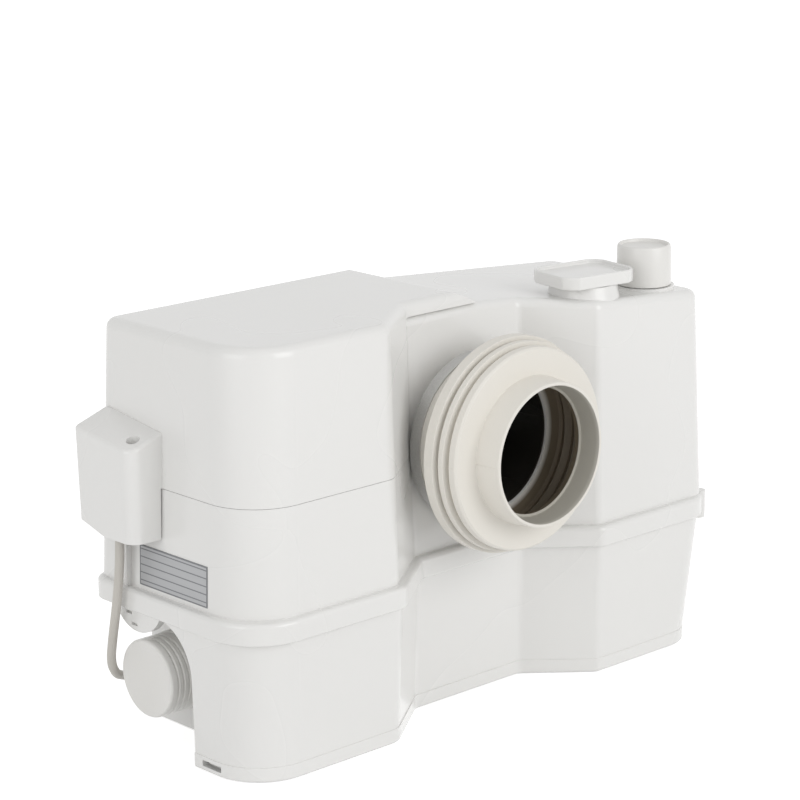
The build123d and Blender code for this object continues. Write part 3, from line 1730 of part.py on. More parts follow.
pieces = {
    "lower_tank": lower_tank,
    "housing_seal": housing_seal,
    "upper_housing": upper_housing,
    "motor_cover": motor_cover,
    "cover_screw": cover_screw,
    "inlet_sleeve": inlet_sleeve,
    "sleeve_band": sleeve_band,
    "side_spigot": side_spigot,
    "side_seal": side_seal,
    "side_cap": side_cap,
    "side_flap": side_flap,
    "side_flap_pin": side_flap_pin,
    "top_cap": top_cap,
    "discharge_lid": discharge_lid,
    "label_plate": label_plate,
    "seal_carrier": seal_carrier,
    "shaft_seal": shaft_seal,
    "motor_bottom_bracket": motor_bottom_bracket,
    "motor_top_bracket": motor_top_bracket,
    "shaft_bearings": shaft_bearings,
    "stator_core": stator_core,
    "stator_windings": stator_windings,
    "rotor_core": rotor_core,
    "motor_shaft": motor_shaft,
    "motor_bolts": motor_bolts,
    "run_capacitor": run_capacitor,
    "capacitor_clip": capacitor_clip,
    "control_board": control_board,
    "terminal_block": terminal_block,
    "pressure_tube": pressure_tube,
    "switch_base": switch_base,
    "switch_membrane": switch_membrane,
    "switch_cover": switch_cover,
    "switch_plunger": switch_plunger,
    "micro_switch": micro_switch,
    "carbon_vent_filter": carbon_vent_filter,
    "pump_column": pump_column,
    "grinder_basket": grinder_basket,
    "inlet_chute": inlet_chute,
    "pump_volute": pump_volute,
    "volute_cover": volute_cover,
    "macerator_blade": macerator_blade,
    "impeller": impeller,
    "impeller_nut": impeller_nut,
    "valve_body": valve_body,
    "valve_flap": valve_flap,
    "valve_flap_pin": valve_flap_pin,
    "discharge_hose": discharge_hose,
    "hose_clips": hose_clips,
    "strain_relief": strain_relief,
    "lead_tail": lead_tail,
    "power_cord": power_cord,
    "cord_coil": cord_coil,
    "plug_lead": plug_lead,
    "mains_plug": mains_plug,
    "plug_pins": plug_pins,
}

for name, route in (("tail", tail_route), ("cord", cord_route), ("plug lead", plug_lead_route)):
    runs = [(Vector(*b) - Vector(*a)).length for a, b in zip(route, route[1:])]
    print(name, "runs", [round(run, 1) for run in runs])
    print(name, "radii", [round(radius, 1) for radius in bend_radii(route)])


def least_gap(path):
    """Least gap of a tube to itself, measured on points spread along its path."""
    count = round(4 * path.length / cord_radius)
    points = [(path @ (step / count)).to_tuple() for step in range(count + 1)]
    apart = round(count * 4 * cord_radius / path.length)
    nearest = min(
        math.dist(here, there)
        for index, here in enumerate(points)
        for there in points[index + apart :]
    )
    return nearest - 2 * cord_radius


section = math.pi * cord_radius**2
for name, piece, path in (
    ("tail", lead_tail, tail_path),
    ("cord", power_cord, cord_line),
    ("coil", cord_coil, coil_path),
    ("plug lead", plug_lead, plug_lead_path),
):
    print(name, "volume over section times length", piece.part.volume / (section * path.length))
    print(name, "length", round(path.length, 1), "least gap to itself", round(least_gap(path), 2))

os.makedirs("parts", exist_ok=True)
for name, piece in pieces.items():
    piece.part.label = name
    export_step(piece.part, f"parts/{name}.step")
    print(name, len(piece.part.solids()), piece.part.is_valid, round(piece.part.volume))
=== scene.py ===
# %% [markdown]
# # A macerator toilet pump on a white ground
# The real thing stands behind a toilet pan. Waste comes in through the big rubber sleeve, a
# cutting blade shreds it, and a pump under the blade sends it up a hose to the outlet on the roof.
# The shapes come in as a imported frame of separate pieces. This script gives each piece its
# surface, replaces the pieces whose detail is finer than the frame's, and sets the light and the
# camera.

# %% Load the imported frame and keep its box
import json
import math

import bmesh
import bpy
from mathutils import Matrix, Vector


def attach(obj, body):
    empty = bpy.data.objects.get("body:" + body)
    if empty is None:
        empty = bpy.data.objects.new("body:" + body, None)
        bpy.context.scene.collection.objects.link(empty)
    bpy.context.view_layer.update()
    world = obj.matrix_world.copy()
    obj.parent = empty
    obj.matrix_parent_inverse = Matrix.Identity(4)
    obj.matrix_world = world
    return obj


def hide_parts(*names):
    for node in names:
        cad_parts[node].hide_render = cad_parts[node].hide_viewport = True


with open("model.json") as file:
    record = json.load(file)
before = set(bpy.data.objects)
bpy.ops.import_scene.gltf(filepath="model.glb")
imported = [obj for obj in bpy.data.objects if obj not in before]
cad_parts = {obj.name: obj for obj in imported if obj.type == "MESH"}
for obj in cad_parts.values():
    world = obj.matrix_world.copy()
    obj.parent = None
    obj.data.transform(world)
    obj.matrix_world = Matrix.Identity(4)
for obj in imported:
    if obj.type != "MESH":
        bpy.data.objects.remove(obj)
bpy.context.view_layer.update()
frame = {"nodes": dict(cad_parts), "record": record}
nodes = frame["nodes"]
print("pieces in the frame:", len(nodes))

# %% [markdown]
# ## Camera
# The picture was taken from the front left and a little above, with a long lens, so parallel edges
# hardly converge. A long lens far away is made with the camera's own focal length, not by scaling.
# The place, the turn and the focal length were worked out from the corners of the housing.

# %% Camera
picture_width = 800
sensor_width = 36.0
focal_pixels = 2801.7
side_shift_pixels = -1.8
camera_place = Vector((-1.2690, -1.3284, 0.6818))
yaw, pitch, roll = (math.radians(angle) for angle in (43.1, 14.7, -0.3))
ahead = Vector(
    (math.sin(yaw) * math.cos(pitch), math.cos(yaw) * math.cos(pitch), -math.sin(pitch))
)
camera_data = bpy.data.cameras.new("camera")
camera_data.sensor_width = sensor_width
camera_data.lens = focal_pixels * sensor_width / picture_width
camera_data.shift_x = side_shift_pixels / picture_width
camera_data.clip_end = 20.0
camera = bpy.data.objects.new("camera", camera_data)
camera_turn = ahead.to_track_quat("-Z", "Y").to_matrix() @ Matrix.Rotation(roll, 3, "Z")
camera.matrix_world = Matrix.Translation(camera_place) @ camera_turn.to_4x4()
bpy.context.collection.objects.link(camera)
bpy.context.scene.camera = camera
print("lens in millimetres:", round(camera_data.lens, 1))

# %% [markdown]
# ## Mains lead
# The lead comes out under the cover's hood, hangs down the left end, slips behind the side cap and
# ends in a coil and a plug behind the tank. A bevelled NURBS curve is the natural way to draw it,
# because its line is smooth at every bend. Its points are the route's own points, and the coil's
# turns are more points of the same curve, sixteen to a turn.

# %% Points of the lead, from the hood to the plug
lead_radius = 0.0031
lead_points = [
    (-0.2330, 0.0430, 0.1615),
    (-0.2330, 0.0430, 0.1375),
    (-0.2330, 0.0455, 0.1140),
    (-0.2328, 0.0500, 0.0915),
    (-0.2316, 0.0562, 0.0707),
    (-0.2276, 0.0642, 0.0522),
    (-0.2180, 0.0720, 0.0398),
    (-0.2065, 0.0800, 0.0335),
    (-0.1930, 0.0885, 0.0280),
    (-0.1770, 0.0970, 0.0200),
    (-0.1590, 0.1030, 0.0120),
    (-0.1400, 0.1040, 0.0055),
    (-0.1210, 0.0970, 0.0031),
    (-0.1040, 0.0880, 0.0031),
    (-0.0865, 0.0880, 0.0031),
]
coil_centre = (-0.080, 0.130)
coil_radius = 0.042
coil_half_pitch = 0.0038
coil_rise = 0.0072
coil_half_turns = 4
points_per_half_turn = 8

reach = coil_radius
level = lead_radius
side = 1
lead_points.append((coil_centre[0], coil_centre[1] - coil_radius, level))
for half_turn in range(2 * coil_half_turns):
    step = -coil_half_pitch if half_turn < coil_half_turns else coil_half_pitch
    climb = coil_rise if half_turn == coil_half_turns else 0.0
    next_reach = reach if climb else reach + step
    middle_y = coil_centre[1] + side * (next_reach - reach) / 2
    radius = (next_reach + reach) / 2
    for point in range(1, points_per_half_turn + 1):
        part = point / points_per_half_turn
        turn = math.pi * part - math.pi / 2
        lead_points.append(
            (
                coil_centre[0] + side * radius * math.cos(turn),
                middle_y + side * radius * math.sin(turn),
                level + climb * (1 - math.cos(math.pi * part)) / 2,
            )
        )
    reach = next_reach
    level += climb
    side = -side
coil_exit_y = coil_centre[1] - reach
lead_points += [
    (-0.0735, coil_exit_y, level),
    (-0.0560, coil_exit_y, level),
    (-0.0355, 0.0950, 0.0135),
    (-0.0155, 0.0995, 0.0185),
    (0.0042, 0.0995, 0.0185),
]
print("points on the lead:", len(lead_points))

# %% [markdown]
# One function draws both leads: the long one outside, and the short tail from the bush to the
# terminal block under the cover. A curve with a bevel depth is a tube without any mesh work.


# %% Draw a lead through its points
def draw_lead(name, points, radius, body):
    """A round lead along a smooth curve, in metres, riding on one body.

    Each point carries the lead's radius and the curve's depth is 1, which gives the same tube
    as a depth of one radius and lets the curve's own box fit the lead closely.
    """
    curve = bpy.data.curves.new(name, "CURVE")
    curve.dimensions = "3D"
    curve.bevel_depth = 1.0
    curve.bevel_resolution = 5
    curve.resolution_u = 10
    curve.use_fill_caps = True
    spline = curve.splines.new("NURBS")
    spline.points.add(len(points) - 1)
    for spline_point, place in zip(spline.points, points):
        spline_point.co = (*place, 1.0)
        spline_point.radius = radius
    spline.order_u = 3
    spline.use_endpoint_u = True
    lead = bpy.data.objects.new(name, curve)
    bpy.context.collection.objects.link(lead)
    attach(lead, body)
    return lead


mains_lead = draw_lead("mains_lead", lead_points, lead_radius, "pump_unit")
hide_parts("power_cord", "cord_coil", "plug_lead")

tail_points = [
    (-0.2330, 0.0430, 0.1618),
    (-0.2330, 0.0430, 0.1913),
    (-0.2121, 0.0430, 0.2122),
    (-0.1830, 0.0430, 0.2122),
]
inner_tail = draw_lead("inner_tail", tail_points, lead_radius, "pump_unit")
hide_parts("lead_tail")
print("points on the tail:", len(tail_points))

# %% [markdown]
# ## Shared surface effects
# Moulded plastic, rubber and metal each need the same few things again and again: a tone that
# drifts a little over the surface, a fine grain that catches the light, and a gloss that is not
# quite even. Each effect is one node group, made once, and every material sets its own values.
# A texture image would do too, but a pattern made of nodes has no seams and no fixed size.

# %% Helpers for node groups
FLOAT = "NodeSocketFloat"
COLOUR = "NodeSocketColor"
VECTOR = "NodeSocketVector"


def new_group(name, inputs, outputs):
    """An empty shader group with named sockets, its input node and its output node."""
    group = bpy.data.node_groups.new(name, "ShaderNodeTree")
    for socket_name, kind, value in inputs:
        socket = group.interface.new_socket(socket_name, in_out="INPUT", socket_type=kind)
        socket.default_value = value
    for socket_name, kind in outputs:
        group.interface.new_socket(socket_name, in_out="OUTPUT", socket_type=kind)
    start = group.nodes.new("NodeGroupInput")
    end = group.nodes.new("NodeGroupOutput")
    start.location = (-1100, 0)
    end.location = (700, 0)
    return group, start, end


def add_node(tree, kind, place, sockets=None, **settings):
    """A node at a place in its tree, with its settings and the plain values of its sockets."""
    node = tree.nodes.new(kind)
    node.location = place
    for key, value in settings.items():
        setattr(node, key, value)
    for key, value in (sockets or {}).items():
        node.inputs[key].default_value = value
    return node


def join(tree, links):
    """Links between pairs of sockets."""
    for source, target in links:
        tree.links.new(source, target)


print("helpers ready")

# %% [markdown]
# The moulded group serves every plastic and rubber. Big soft patches move the tone between a light
# and a dark one, as flow in the mould does. A second, finer noise moves the gloss a little, and a
# very fine one is the grain. All of them read Object coordinates, so they stay put on the piece.

# %% Moulded surface: drifting tone, fine grain and uneven gloss
moulded, m_in, m_out = new_group(
    "moulded_surface",
    [
        ("Light Tone", COLOUR, (0.8, 0.8, 0.8, 1)),
        ("Dark Tone", COLOUR, (0.7, 0.7, 0.7, 1)),
        ("Patch Scale", FLOAT, 7.0),
        ("Grain Scale", FLOAT, 900.0),
        ("Grain Depth", FLOAT, 0.00003),
        ("Gloss Low", FLOAT, 0.2),
        ("Gloss High", FLOAT, 0.35),
    ],
    [("Tone", COLOUR), ("Roughness", FLOAT), ("Normal", VECTOR)],
)
m_coords = add_node(moulded, "ShaderNodeTexCoord", (-900, -300))
patches = add_node(moulded, "ShaderNodeTexNoise", (-600, 200), {"Detail": 2.0})
patch_range = add_node(
    moulded, "ShaderNodeMapRange", (-350, 200), {"From Min": 0.15, "From Max": 0.85}
)
tone_mix = add_node(moulded, "ShaderNodeMix", (-50, 200), data_type="RGBA")
smears = add_node(moulded, "ShaderNodeTexNoise", (-600, -100), {"Scale": 9.0, "Detail": 1.0})
gloss_range = add_node(
    moulded, "ShaderNodeMapRange", (-50, -100), {"From Min": 0.15, "From Max": 0.85}
)
grain = add_node(moulded, "ShaderNodeTexNoise", (-600, -400), {"Detail": 2.0})
grain_bump = add_node(moulded, "ShaderNodeBump", (-50, -400), {"Strength": 0.6})
join(
    moulded,
    [
        (m_coords.outputs["Object"], patches.inputs["Vector"]),
        (m_coords.outputs["Object"], smears.inputs["Vector"]),
        (m_coords.outputs["Object"], grain.inputs["Vector"]),
        (m_in.outputs["Patch Scale"], patches.inputs["Scale"]),
        (m_in.outputs["Grain Scale"], grain.inputs["Scale"]),
        (patches.outputs[0], patch_range.inputs["Value"]),
        (patch_range.outputs[0], tone_mix.inputs["Factor"]),
        (m_in.outputs["Light Tone"], tone_mix.inputs["A"]),
        (m_in.outputs["Dark Tone"], tone_mix.inputs["B"]),
        (smears.outputs[0], gloss_range.inputs["Value"]),
        (m_in.outputs["Gloss Low"], gloss_range.inputs["To Min"]),
        (m_in.outputs["Gloss High"], gloss_range.inputs["To Max"]),
        (grain.outputs[0], grain_bump.inputs["Height"]),
        (m_in.outputs["Grain Depth"], grain_bump.inputs["Distance"]),
        (tone_mix.outputs["Result"], m_out.inputs["Tone"]),
        (gloss_range.outputs[0], m_out.inputs["Roughness"]),
        (grain_bump.outputs[0], m_out.inputs["Normal"]),
    ],
)
print("moulded sockets:", len(moulded.interface.items_tree))

# %% [markdown]
# Drawn and turned metal has fine scratches that all run one way. Stretching the coordinates before
# the noise makes them: a big scale across the scratches and a small one along them.

# %% Drawn metal: long scratches along one direction
drawn, d_in, d_out = new_group(
    "drawn_metal",
    [
        ("Light Tone", COLOUR, (0.8, 0.8, 0.8, 1)),
        ("Dark Tone", COLOUR, (0.6, 0.6, 0.6, 1)),
        ("Stretch", VECTOR, (40.0, 900.0, 900.0)),
        ("Scratch Depth", FLOAT, 0.00002),
        ("Gloss Low", FLOAT, 0.25),
        ("Gloss High", FLOAT, 0.45),
    ],
    [("Tone", COLOUR), ("Roughness", FLOAT), ("Normal", VECTOR)],
)
d_coords = add_node(drawn, "ShaderNodeTexCoord", (-1100, -300))
stretch = add_node(drawn, "ShaderNodeMapping", (-850, -300))
scratches = add_node(drawn, "ShaderNodeTexNoise", (-600, -200), {"Scale": 1.0, "Detail": 4.0})
metal_mix = add_node(drawn, "ShaderNodeMix", (-50, 200), data_type="RGBA")
metal_gloss = add_node(drawn, "ShaderNodeMapRange", (-50, -50))
metal_bump = add_node(drawn, "ShaderNodeBump", (-50, -350), {"Strength": 0.5})
join(
    drawn,
    [
        (d_coords.outputs["Object"], stretch.inputs["Vector"]),
        (d_in.outputs["Stretch"], stretch.inputs["Scale"]),
        (stretch.outputs[0], scratches.inputs["Vector"]),
        (scratches.outputs[0], metal_mix.inputs["Factor"]),
        (d_in.outputs["Light Tone"], metal_mix.inputs["A"]),
        (d_in.outputs["Dark Tone"], metal_mix.inputs["B"]),
        (scratches.outputs[0], metal_gloss.inputs["Value"]),
        (d_in.outputs["Gloss Low"], metal_gloss.inputs["To Min"]),
        (d_in.outputs["Gloss High"], metal_gloss.inputs["To Max"]),
        (scratches.outputs[0], metal_bump.inputs["Height"]),
        (d_in.outputs["Scratch Depth"], metal_bump.inputs["Distance"]),
        (metal_mix.outputs["Result"], d_out.inputs["Tone"]),
        (metal_gloss.outputs[0], d_out.inputs["Roughness"]),
        (metal_bump.outputs[0], d_out.inputs["Normal"]),
    ],
)
print("drawn sockets:", len(drawn.interface.items_tree))

# %% [markdown]
# Inside the sleeve and the tank, painted shade turns the tone brown and black; the outside is
# clean.
# A mask tells the two apart: it is 1 inside a round region about the inlet's level axis, and 0
# outside. The distance from that axis is the length of the place with its middle part removed.

# %% Round region about the inlet's axis, as a mask
soft_edge = 0.0004
region, r_in, r_out = new_group(
    "round_region",
    [("Centre", VECTOR, (0, 0, 0)), ("Radius", FLOAT, 0.05), ("Half Length", FLOAT, 0.05)],
    [("Mask", FLOAT)],
)
r_coords = add_node(region, "ShaderNodeTexCoord", (-1100, -300))
from_centre = add_node(region, "ShaderNodeVectorMath", (-900, -200), operation="SUBTRACT")
flatten = add_node(region, "ShaderNodeVectorMath", (-700, -100), operation="MULTIPLY")
flatten.inputs[1].default_value = (1, 0, 1)
away = add_node(region, "ShaderNodeVectorMath", (-500, -100), operation="LENGTH")
past_radius = add_node(region, "ShaderNodeMath", (-300, -100), operation="SUBTRACT")
parts = add_node(region, "ShaderNodeSeparateXYZ", (-700, -350))
along = add_node(region, "ShaderNodeMath", (-500, -350), operation="ABSOLUTE")
past_end = add_node(region, "ShaderNodeMath", (-300, -350), operation="SUBTRACT")
furthest = add_node(region, "ShaderNodeMath", (-100, -200), operation="MAXIMUM")
edge_fade = add_node(
    region,
    "ShaderNodeMapRange",
    (200, 0),
    {"From Min": -soft_edge, "From Max": soft_edge, "To Min": 1.0, "To Max": 0.0},
)
join(
    region,
    [
        (r_coords.outputs["Object"], from_centre.inputs[0]),
        (r_in.outputs["Centre"], from_centre.inputs[1]),
        (from_centre.outputs[0], flatten.inputs[0]),
        (flatten.outputs[0], away.inputs[0]),
        (away.outputs["Value"], past_radius.inputs[0]),
        (r_in.outputs["Radius"], past_radius.inputs[1]),
        (from_centre.outputs[0], parts.inputs[0]),
        (parts.outputs["Y"], along.inputs[0]),
        (along.outputs[0], past_end.inputs[0]),
        (r_in.outputs["Half Length"], past_end.inputs[1]),
        (past_radius.outputs[0], furthest.inputs[0]),
        (past_end.outputs[0], furthest.inputs[1]),
        (furthest.outputs[0], edge_fade.inputs["Value"]),
        (edge_fade.outputs[0], r_out.inputs["Mask"]),
    ],
)
print("region sockets:", len(region.interface.items_tree))

# %% [markdown]
# ## Materials
# Each material is one Principled shader fed by one of the groups. Anything that is the same all
# over, such as how metallic it is, is set on the shader itself.


# %% Make a material from a group
def finish(name, group, shader=None, **values):
    """A material whose Principled shader reads one group; shader holds plain socket values."""
    material = bpy.data.materials.new(name)
    material.use_nodes = True
    tree = material.node_tree
    principled = tree.nodes["Principled BSDF"]
    effect = add_node(tree, "ShaderNodeGroup", (-400, 0), node_tree=group)
    effect.name = "effect"
    for key, value in values.items():
        if key.endswith("tone"):
            value = (*value, 1.0)
        effect.inputs[key.replace("_", " ").title()].default_value = value
    for key, value in (shader or {}).items():
        principled.inputs[key].default_value = value
    join(
        tree,
        [
            (effect.outputs["Tone"], principled.inputs["Base Color"]),
            (effect.outputs["Roughness"], principled.inputs["Roughness"]),
            (effect.outputs["Normal"], principled.inputs["Normal"]),
        ],
    )
    return material


finishes = {
    "body_plastic": finish(
        "glossy_white_plastic",
        moulded,
        {"Coat Weight": 0.25, "Coat Roughness": 0.08},
        light_tone=(0.82, 0.815, 0.80),
        dark_tone=(0.80, 0.795, 0.775),
        gloss_low=0.24,
        gloss_high=0.30,
        grain_depth=0.000008,
    ),
    "cap_plastic": finish(
        "warm_white_plastic",
        moulded,
        {"Coat Weight": 0.1, "Coat Roughness": 0.15},
        light_tone=(0.80, 0.79, 0.765),
        dark_tone=(0.77, 0.76, 0.73),
        gloss_low=0.28,
        gloss_high=0.36,
    ),
    "inner_plastic": finish(
        "dark_inner_plastic",
        moulded,
        light_tone=(0.10, 0.10, 0.11),
        dark_tone=(0.07, 0.07, 0.08),
        gloss_low=0.4,
        gloss_high=0.6,
    ),
    "sleeve_rubber": finish(
        "pale_sleeve_rubber",
        moulded,
        {"Specular IOR Level": 0.4},
        light_tone=(0.81, 0.785, 0.73),
        dark_tone=(0.78, 0.75, 0.69),
        patch_scale=12.0,
        grain_scale=1300.0,
        gloss_low=0.42,
        gloss_high=0.52,
    ),
    "seal_rubber": finish(
        "black_seal_rubber",
        moulded,
        light_tone=(0.03, 0.03, 0.03),
        dark_tone=(0.02, 0.02, 0.02),
        gloss_low=0.5,
        gloss_high=0.7,
    ),
    "hose_rubber": finish(
        "black_hose_rubber",
        moulded,
        light_tone=(0.04, 0.04, 0.042),
        dark_tone=(0.025, 0.025, 0.027),
        gloss_low=0.45,
        gloss_high=0.65,
    ),
    "cord_sheath": finish(
        "pale_cord_sheath",
        moulded,
        {"Specular IOR Level": 0.4},
        light_tone=(0.60, 0.575, 0.53),
        dark_tone=(0.56, 0.535, 0.49),
        patch_scale=30.0,
        grain_scale=1500.0,
        gloss_low=0.38,
        gloss_high=0.48,
    ),
    "label_foil": finish(
        "silver_label_foil",
        drawn,
        {"Metallic": 0.3},
        light_tone=(0.46, 0.465, 0.475),
        dark_tone=(0.42, 0.425, 0.435),
        stretch=(900.0, 30.0, 900.0),
        gloss_low=0.38,
        gloss_high=0.5,
    ),
    "stainless": finish(
        "fine_stainless",
        drawn,
        {"Metallic": 1.0},
        light_tone=(0.66, 0.66, 0.65),
        dark_tone=(0.5, 0.5, 0.5),
    ),
    "steel": finish(
        "zinc_plated_steel",
        drawn,
        {"Metallic": 0.8},
        light_tone=(0.68, 0.68, 0.66),
        dark_tone=(0.56, 0.56, 0.55),
        gloss_low=0.35,
        gloss_high=0.5,
    ),
    "lamination_steel": finish(
        "stacked_laminations",
        drawn,
        {"Metallic": 0.8},
        light_tone=(0.24, 0.24, 0.25),
        dark_tone=(0.14, 0.14, 0.15),
        stretch=(30.0, 30.0, 1500.0),
    ),
    "cast_alloy": finish(
        "sand_cast_alloy",
        moulded,
        {"Metallic": 1.0},
        light_tone=(0.6, 0.61, 0.62),
        dark_tone=(0.5, 0.51, 0.52),
        grain_scale=600.0,
        grain_depth=0.0001,
        gloss_low=0.4,
        gloss_high=0.55,
    ),
    "copper_wire": finish(
        "enamelled_copper",
        drawn,
        {"Metallic": 0.9},
        light_tone=(0.6, 0.26, 0.1),
        dark_tone=(0.4, 0.14, 0.05),
        stretch=(60.0, 60.0, 1200.0),
    ),
    "board_resin": finish(
        "green_board_resin",
        moulded,
        light_tone=(0.02, 0.14, 0.06),
        dark_tone=(0.015, 0.10, 0.045),
        gloss_low=0.3,
        gloss_high=0.5,
    ),
    "pin_metal": finish(
        "nickel_pins",
        drawn,
        {"Metallic": 1.0},
        light_tone=(0.7, 0.66, 0.55),
        dark_tone=(0.6, 0.56, 0.45),
    ),
}
print("finishes:", len(finishes))

# %% [markdown]
# The dark inside is laid over a clean finish: wherever the round region's mask is 1, a mix node
# changes the clean tone for a dark one. The mouth is a darker, dull grey up to its lip. The fold
# behind the lip is painted brown shade, and the socket and the tank are painted almost black
# shadow.

# %% Dark insides of the sleeve and the tank
inlet_height = 0.184


def darken_inside(material, regions):
    """Lay dark tones over a finish: regions holds (start, end, radius, tone) along the axis."""
    tree = material.node_tree
    principled = tree.nodes["Principled BSDF"]
    tone = tree.nodes["effect"].outputs["Tone"]
    for start, end, radius, dark_tone in regions:
        place = add_node(tree, "ShaderNodeGroup", (-400, -300), node_tree=region)
        place.inputs["Centre"].default_value = (0, (start + end) / 2, inlet_height)
        place.inputs["Radius"].default_value = radius
        place.inputs["Half Length"].default_value = (end - start) / 2
        cover = add_node(tree, "ShaderNodeMix", (-200, 0), data_type="RGBA")
        cover.inputs["B"].default_value = (*dark_tone, 1.0)
        join(tree, [(place.outputs["Mask"], cover.inputs["Factor"]), (tone, cover.inputs["A"])])
        tone = cover.outputs["Result"]
    tree.links.new(tone, principled.inputs["Base Color"])


# Painted shade: the brown in the sleeve's fold and the near black in the socket and the tank stand
# in for the shadow in the cavity.
sleeve_fold_shade = (0.22, 0.178, 0.125)
mouth_grey = (0.46, 0.44, 0.385)
tank_shadow_black = (0.028, 0.026, 0.022)
dark_insides = {
    "sleeve_rubber": [
        (-0.1136, -0.0980, 0.0461, mouth_grey),
        (-0.0922, -0.0630, 0.0610, sleeve_fold_shade),
        (-0.0984, -0.0914, 0.0462, sleeve_fold_shade),
    ],
    # Painted shadow on the housing's socket and on the walls of the wet room behind the sleeve.
    "body_plastic": [
        (-0.0630, -0.0100, 0.0480, tank_shadow_black),
        (-0.0300, 0.0783, 0.0830, tank_shadow_black),
    ],
}
for slot_name, regions in dark_insides.items():
    darken_inside(finishes[slot_name], regions)
print("finishes with a dark inside:", len(dark_insides))

# %% [markdown]
# A rating label is silver foil printed in dark grey. The print is left off here, and what stays is
# its plain frame and a few rules. The frame is where a place lies past the frame's half size, and
# the rules are where the height, counted in rows, is just over a whole number. Both are masks.

# %% Printed frame and rules of the label
rule_share = 0.16
label_centre = (0, 0.004, 0.1245)
frame_half_size = (1, 0.0330, 0.0125)
rule_spacing = 0.0052
ink_grey = (0.20, 0.205, 0.215, 1)
rules, u_in, u_out = new_group(
    "printed_rules",
    [("Centre", VECTOR, (0, 0, 0)), ("Half Size", VECTOR, (1, 1, 1)), ("Row", FLOAT, 0.01)],
    [("Mask", FLOAT)],
)
u_coords = add_node(rules, "ShaderNodeTexCoord", (-1100, -300))
from_middle = add_node(rules, "ShaderNodeVectorMath", (-900, -200), operation="SUBTRACT")
distance = add_node(rules, "ShaderNodeVectorMath", (-700, -200), operation="ABSOLUTE")
past_frame = add_node(rules, "ShaderNodeVectorMath", (-500, -200), operation="SUBTRACT")
past = add_node(rules, "ShaderNodeSeparateXYZ", (-300, -200))
furthest_past = add_node(rules, "ShaderNodeMath", (-100, -200), operation="MAXIMUM")
in_frame = add_node(rules, "ShaderNodeMath", (100, -200), {1: 0.0}, operation="GREATER_THAN")
place_parts = add_node(rules, "ShaderNodeSeparateXYZ", (-700, -450))
row_count = add_node(rules, "ShaderNodeMath", (-500, -450), operation="DIVIDE")
in_row = add_node(rules, "ShaderNodeMath", (-300, -450), {1: 1.0}, operation="FLOORED_MODULO")
on_rule = add_node(rules, "ShaderNodeMath", (-100, -450), {1: rule_share}, operation="LESS_THAN")
printed = add_node(rules, "ShaderNodeMath", (300, -300), operation="MAXIMUM")
join(
    rules,
    [
        (u_coords.outputs["Object"], from_middle.inputs[0]),
        (u_in.outputs["Centre"], from_middle.inputs[1]),
        (from_middle.outputs[0], distance.inputs[0]),
        (distance.outputs[0], past_frame.inputs[0]),
        (u_in.outputs["Half Size"], past_frame.inputs[1]),
        (past_frame.outputs[0], past.inputs[0]),
        (past.outputs["Y"], furthest_past.inputs[0]),
        (past.outputs["Z"], furthest_past.inputs[1]),
        (furthest_past.outputs[0], in_frame.inputs[0]),
        (from_middle.outputs[0], place_parts.inputs[0]),
        (place_parts.outputs["Z"], row_count.inputs[0]),
        (u_in.outputs["Row"], row_count.inputs[1]),
        (row_count.outputs[0], in_row.inputs[0]),
        (in_row.outputs[0], on_rule.inputs[0]),
        (in_frame.outputs[0], printed.inputs[0]),
        (on_rule.outputs[0], printed.inputs[1]),
        (printed.outputs[0], u_out.inputs["Mask"]),
    ],
)
label_tree = finishes["label_foil"].node_tree
label_print = add_node(label_tree, "ShaderNodeGroup", (-400, -300), node_tree=rules)
label_print.inputs["Centre"].default_value = label_centre
label_print.inputs["Half Size"].default_value = frame_half_size
label_print.inputs["Row"].default_value = rule_spacing
ink = add_node(label_tree, "ShaderNodeMix", (-200, 0), data_type="RGBA")
ink.inputs["B"].default_value = ink_grey
join(
    label_tree,
    [
        (label_print.outputs["Mask"], ink.inputs["Factor"]),
        (label_tree.nodes["effect"].outputs["Tone"], ink.inputs["A"]),
        (ink.outputs["Result"], label_tree.nodes["Principled BSDF"].inputs["Base Color"]),
    ],
)
print("rule spacing in metres:", rule_spacing)

# %% [markdown]
# Every piece of the frame says in the record which finish it takes. A loop hands them out, so no
# piece is left with the frame's plain grey.

# %% Hand the finishes to the frame's pieces
slot_of = {entry["node"]: entry["material_slot"] for entry in frame["record"]["subparts"]}
for node_name, node in nodes.items():
    for material_slot in node.material_slots:
        material_slot.material = finishes[slot_of[node_name]]
for lead in (mains_lead, inner_tail):
    lead.data.materials.append(finishes["cord_sheath"])
print("pieces with a finish:", len(slot_of))

# %% [markdown]
# ## Modelling helpers
# The new pieces are made in bmesh, the part of Blender that edits a mesh in code. Most of them are
# turned shapes: a closed profile, a list of distances along an axis with a radius at each, is spun
# about that axis. A profile that starts and ends on the axis leaves one bare edge there, which is
# deleted. The bevel modifier then softens the edges, as moulding does.


# %% Finish a bmesh as a piece, and spin a profile
def dress(name, shape, body, slot, edge=0.0, angle=30.0, segments=2):
    """A bmesh made into a piece with softened edges, riding on a body."""
    mesh = bpy.data.meshes.new(name)
    shape.to_mesh(mesh)
    shape.free()
    piece = bpy.data.objects.new(name, mesh)
    bpy.context.collection.objects.link(piece)
    mesh.materials.append(finishes[slot])
    for polygon in mesh.polygons:
        polygon.use_smooth = True
    mesh.set_sharp_from_angle(angle=math.radians(angle))
    if edge:
        bevel = piece.modifiers.new("soft_edges", "BEVEL")
        bevel.width = edge
        bevel.segments = segments
        bevel.limit_method = "ANGLE"
        bevel.angle_limit = math.radians(angle)
    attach(piece, body)
    return piece


